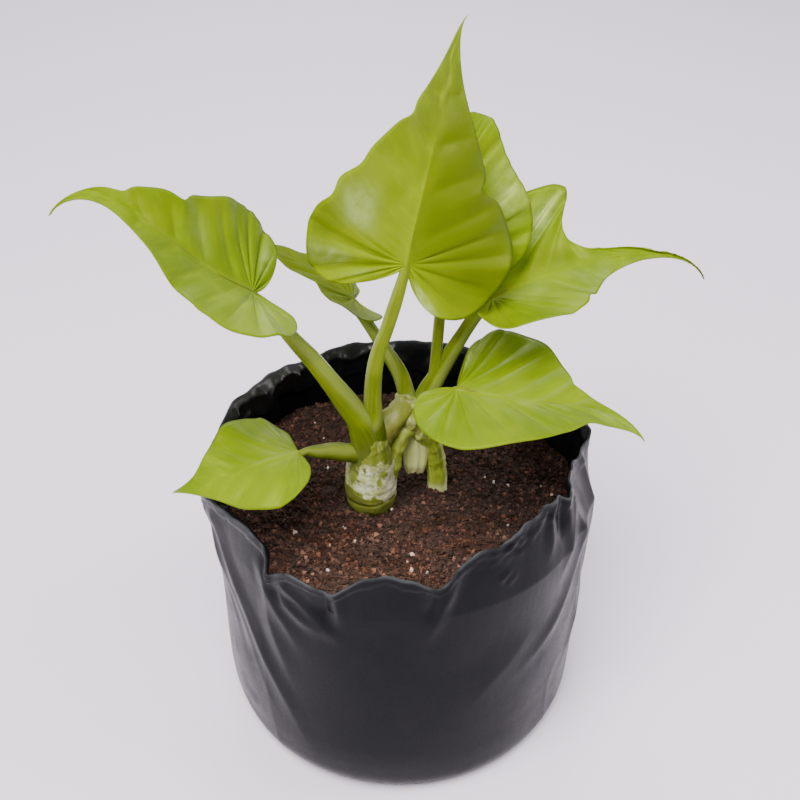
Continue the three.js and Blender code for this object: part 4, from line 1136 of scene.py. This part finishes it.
# Marks about evenly far apart on both margins: the two lengths are added up, with 0.3 of their mean more
# for each step, and cut into even runs.
def evenMarks(leaf, rows):
    fine = np.linspace(0, 1, 800)
    steps = sum(np.linalg.norm(np.diff(halfOutline(leaf, half, fine) * [leaf["length"], leaf["width"][half]],
                                       axis=0), axis=1) for half in (0, 1))
    run = np.append(0, np.cumsum(steps + 0.3 * steps.mean()))
    return np.interp(np.linspace(0, run[-1], rows), run, fine)


# Both halves side by side, from the right margin over the midrib to the left margin.
def sideBySide(left, right):
    return np.concatenate([right[:, ::-1], left[:, 1:]], axis=1)


# A blade's closed surface: the upper face with sunk veins and swollen cells between them, and the
# underside. The relief is -depth at a vein, falling off as a bell across it, plus a cosine swell from
# vein to vein and a raised midrib; it settles at the midrib and at the margin. The underside inverts it.
def bladePart(leaf, frames):
    look = leafLook
    marks = evenMarks(leaf, look["rows"])
    reaches = np.linspace(0, 1, look["columns"] + 1) ** 1.25
    mark, reach = np.meshgrid(marks, reaches, indexing="ij")
    veins = np.array(look["veins"])
    apart = np.abs(mark[..., None] - veins).min(-1)
    cells = np.interp(mark, np.concatenate([[0], veins, [1]]), np.arange(len(veins) + 2))
    swell = 0.5 - 0.5 * np.cos(2 * np.pi * cells)
    ribbed = leaf["ribbed"]
    lateral = ribbed * bell(apart, 0.007 + 0.004 * (1 - reach)) * (1 - smooth(0.7, 1, reach))
    settle = smooth(0.02, 0.25, reach) * (1 - reach ** 6) * smooth(0, 0.12, mark)
    halves = []
    for half in (0, 1):
        points = bladePoints(leaf, frames, half, mark, reach)
        edge = halfOutline(leaf, half, mark)
        across = edge[..., 1] * leaf["width"][half] * reach
        start = veinStart(mark)
        a = start + (edge[..., 0] - start) * reach
        rib = bell(across, 0.35 + 0.5 * np.maximum(1 - a, 0)) * (a > -0.005) * (1 - smooth(0.1, 0.55, a))
        relief = settle * (ribbed * look["quilt"] * (swell - 0.5) - look["veinDepth"] * lateral)
        relief = relief + look["midrib"] * rib
        bloom = sum(amount * bell(mark - at, spread) * bell(reach - out, width)
                    for which, at, spread, out, width, amount in leaf["bloom"] if which == half) + 0 * mark
        halves.append({"points": points, "rib": rib, "relief": relief, "bloom": bloom})
    left, right = halves
    grid = {key: sideBySide(left[key], right[key]) for key in left}
    flow = sideBySide(reach, -reach)
    veined = sideBySide(lateral, lateral) * smooth(0, 0.1, np.abs(flow)) * 0.3
    normal = np.cross(np.gradient(grid["points"], axis=1), np.gradient(grid["points"], axis=0))
    poor = np.linalg.norm(normal, axis=-1) < 1e-5
    normal = unit(normal)
    normal[poor] = frames["up"][0]
    rim = smooth(0.9, 1, np.abs(flow))
    top = grid["points"] + normal * grid["relief"][..., None]
    under = grid["points"] - normal * (look["thick"] * (1 - 0.45 * rim) - 0.6 * grid["relief"])[..., None]
    rows, columns = flow.shape
    quads = gridQuads(rows, columns)
    i = np.arange(rows - 1)
    shift = rows * columns
    walls = []
    for column, way in ((0, 1), (columns - 1, -1)):
        near, far = i * columns + column, (i + 1) * columns + column
        walls.append(np.stack([near, far, far + shift, near + shift], -1)[:, ::way])
    values = {"mark": np.tile(np.broadcast_to(marks[:, None], flow.shape).ravel(), 2),
              "flow": np.tile(flow.ravel(), 2), "under": np.repeat([0.0, 1.0], shift),
              "vein": np.tile(np.maximum(veined, grid["rib"]).ravel(), 2),
              "bloom": np.tile(grid["bloom"].ravel(), 2)}
    return weld({"points": np.vstack([top.reshape(-1, 3), under.reshape(-1, 3)]),
                 "faces": [np.vstack([quads, quads[:, ::-1] + shift] + walls)], "values": values})


# The stalk: a tube with a shallow channel along its upper side, going on under the midrib as a thinning
# rib. Its section is 1 - channel x bell(angle) + low shoulders beside it.
def stalkPart(leaf, frames):
    look = leafLook
    steps, sides = look["stalkSteps"], look["stalkSides"]
    rib = []
    for a, share in look["rib"]:
        radius, a = leaf["stalk"][-1][3] * share, np.array(a)
        centre = frameAt(frames, "centre", a) - frameAt(frames, "up", a) * radius * look["ribSink"]
        rib.append([*centre, radius])
    foot, after = np.array(leaf["stalk"][:2])
    step = foot[:3] - after[:3]
    down, taper = look["foot"]
    foot = np.append(foot[:3] + step / np.linalg.norm(step) * down, foot[3] * taper)
    stations = np.array([foot, *leaf["stalk"], *rib])
    line = curveThrough(stations[:, :3], steps)
    radii = np.interp(np.linspace(0, len(stations) - 1, len(line)), np.arange(len(stations)), stations[:, 3])
    length = lengthsTo(line)
    height = length / length[len(leaf["stalk"]) * steps]
    turned = np.clip(height, 0, 1)[:, None]
    outwards = unit(np.array([*(after[:2] - stems["main"][4][:2]), 0.0]) + 1e-3)
    top = -outwards * (1 - turned) ** 2 + frames["up"][0] * (1 - (1 - turned) ** 2) + [0, 0, 0.001]

    # The section, whose channel ends at the blade
    def shape(angle, row):
        off = np.minimum(angle, 2 * np.pi - angle)
        fade = 1 - smooth(0.9, 1.05, height)[row]
        return 1 - look["channel"] * bell(off, 0.5) * fade + 0.04 * bell(off - 0.95, 0.35)

    # A slight unevenness: two waves round, turning with the rows, times a slow wave along
    def extra(angle, row):
        return 0.1 * np.sin(2 * angle + row * 0.23) * np.sin(row * 0.11)

    part = tube(line, radii, sides, top, shape, extra)
    part["values"]["height"] = np.append(np.repeat(height, sides), [0, height[-1]])
    return part


# Leaf skin: streaks run out along the veins; veins are paler, the margin is a thin darker line, and
# the underside is paler. Painted light above 0 lays broken pale painted sheen on it, and below 0 it is
# painted shade that darkens it.
def leafNodes(bright, deep):
    # The nodes, with this leaf's two greens
    def build(n):
        flow = n.value("flow")
        skin = n.use(plantSkin, Across=n.times(n.value("mark"), 70.0), Along=n.times(flow, 3.0),
                     Streaks=0.34, Bright=bright, Deep=deep, Pale=[c * 1.25 for c in bright])
        bloom = n.value("bloom")
        colour = n.blend(n.times(n.value("vein"), 0.5), skin["Color"], (0.21, 0.29, 0.004))
        # painted sheen: broken pale patches where the waxy surface would catch the light
        painted_sheen = n.times(n.between(bloom, 0.0, 1.0),
                         n.between(n.noise(3.5, 4.0, rough=0.6), 0.3, 0.62, (0.35, 1.0)))
        colour = n.blend(painted_sheen, colour, (0.28, 0.37, 0.08))
        rim = n.between(n.math("ABSOLUTE", flow), 0.965, 0.995)
        colour = n.blend(n.times(rim, 0.4), colour, [c * 0.55 for c in deep])
        colour = n.blend(n.times(n.value("under"), 0.5), colour, (0.23, 0.3, 0.02))
        # painted shade where the painted-light value is below 0
        colour = n.blend(n.between(bloom, 0.0, -1.0, (0.0, 0.9)), colour, [c * 0.52 for c in deep])
        matt = n.plus(skin["Roughness"], n.between(bloom, -0.9, -1.4, (0.0, 0.45)))
        return {"Base Color": colour, "Roughness": matt, "Coat Weight": n.times(painted_sheen, 0.35),
                "Normal": n.relief(skin["Height"], 0.14, 0.7)}
    return build


# Stalk skin: a painted pale sheen on both shoulders of the channel, darker streaks, and a paler foot.
def stalkNodes(n):
    turn, height = n.value("turn"), n.value("height")
    skin = n.use(plantSkin, Across=n.times(turn, 26.0), Along=n.times(height, 3.5), Streaks=0.5,
                 Bright=(0.125, 0.17, 0.002), Deep=(0.07, 0.1, 0.001), Pale=(0.18, 0.23, 0.02))
    side = n.math("ABSOLUTE", n.math("SUBTRACT", turn, 0.5))
    # painted sheen along both shoulders of the channel
    bloom = n.between(n.math("ABSOLUTE", n.math("SUBTRACT", side, 0.3)), 0.14, 0.02)
    colour = n.blend(n.times(bloom, 0.4), skin["Color"], (0.235, 0.29, 0.075))
    colour = n.blend(n.between(height, 0.3, 0.0, (0.0, 0.5)), colour, (0.22, 0.27, 0.085))
    return fed(n, skin, 0.15, 0.5, colour)


# Leaves let some light through, with a scatter that is longest in green.
waxy = {"Specular IOR Level": 0.3, "Specular Tint": (0.8, 0.9, 0.15, 1), "Subsurface Weight": 0.08,
        "Subsurface Scale": 0.0015, "Subsurface Radius": (0.6, 1.0, 0.02), "Coat Roughness": 0.3}
# The two leaf materials are one material in two tones, set apart by how the light falls: golden for the open leaves,
# and shaded, a brighter copy, for the upright leaf_centre and the shadowed leaf_back_left. The difference between
# them is painted light.
golden = newMaterial("golden leaf", waxy, leafNodes((0.137, 0.205, 0.0), (0.101, 0.165, 0.0)))
shaded = newMaterial("shaded leaf", waxy, leafNodes((0.185, 0.26, 0.0), (0.133, 0.2, 0.0)))
stalkGreen = newMaterial("stalk green", waxy, stalkNodes)
for name, given in leaves.items():
    leaf = {**plainLeaf, **given}
    frames = midribFrames(leaf)
    in_shade = name in ("leaf_centre", "leaf_back_left")
    addPiece(name + "_look", joined([bladePart(leaf, frames), stalkPart(leaf, frames)]),
             [shaded if in_shade else golden, stalkGreen], [name])
print("leaves made")


# Floor, light and camera, in metres
studio = {
    "floor": (0.815, 0.755, 0.925), "floorSize": 4, "floorLevel": -0.0004,
    "world": (1.0, 0.96, 0.9), "worldPower": 0.68,
    "lamps": {  # place, width, power and tint; all of them face aim
        "key": ((-0.2, -0.4, 1.0), 0.7, 21, (1, 0.97, 0.9)),
        "fill": ((0.75, 0.0, 0.75), 0.6, 5, (1, 0.98, 0.95)),
        "back": ((-0.1, 0.95, 0.8), 0.8, 6.5, (1, 0.98, 0.97)),
        "front": ((-0.9, -0.9, 0.36), 0.4, 5, (0.97, 0.98, 1)),
    },
    "aim": (0, 0, 0.1),
    "camera": {"place": (0, -0.2652, 0.2988), "pitch": 35.5, "lens": 49.23, "sensor": 36, "near": 0.01},
}
size = studio["floorSize"] / 2
corners = [(x * size, y * size, studio["floorLevel"]) for x, y in ((-1, -1), (1, -1), (1, 1), (-1, 1))]
floorMesh = bpy.data.meshes.new("floor")
floorMesh.from_pydata(corners, [], [(0, 1, 2, 3)])
floor = bpy.data.objects.new("floor", floorMesh)
bpy.context.scene.collection.objects.link(floor)
floorMesh.materials.append(newMaterial("pale floor", {"Base Color": (*studio["floor"], 1), "Roughness": 0.75},
                                       lambda n: {}))

world = bpy.data.worlds.new("studio")
world.use_nodes = True
background = world.node_tree.nodes["Background"].inputs
background["Color"].default_value = (*studio["world"], 1)
background["Strength"].default_value = studio["worldPower"]
bpy.context.scene.world = world

for name, (spot, width, power, tint) in studio["lamps"].items():
    lamp = bpy.data.lights.new(name, "AREA")
    lamp.shape, lamp.size, lamp.energy, lamp.color = "DISK", width, power, tint
    holder = bpy.data.objects.new(name, lamp)
    holder.location = spot
    aim = np.array(studio["aim"]) - np.array(spot)
    yaw, pitch = math.atan2(aim[0], -aim[1]), math.atan2(math.hypot(aim[0], aim[1]), -aim[2])
    holder.rotation_euler = (pitch, 0, yaw + math.pi)
    bpy.context.scene.collection.objects.link(holder)

view = studio["camera"]
camera = bpy.data.objects.new("camera", bpy.data.cameras.new("camera"))
camera.data.sensor_width, camera.data.lens, camera.data.clip_start = view["sensor"], view["lens"], view["near"]
camera.location = view["place"]
camera.rotation_euler = (math.radians(90 - view["pitch"]), 0, 0)
bpy.context.scene.collection.objects.link(camera)
bpy.context.scene.camera = camera
print("stage set")
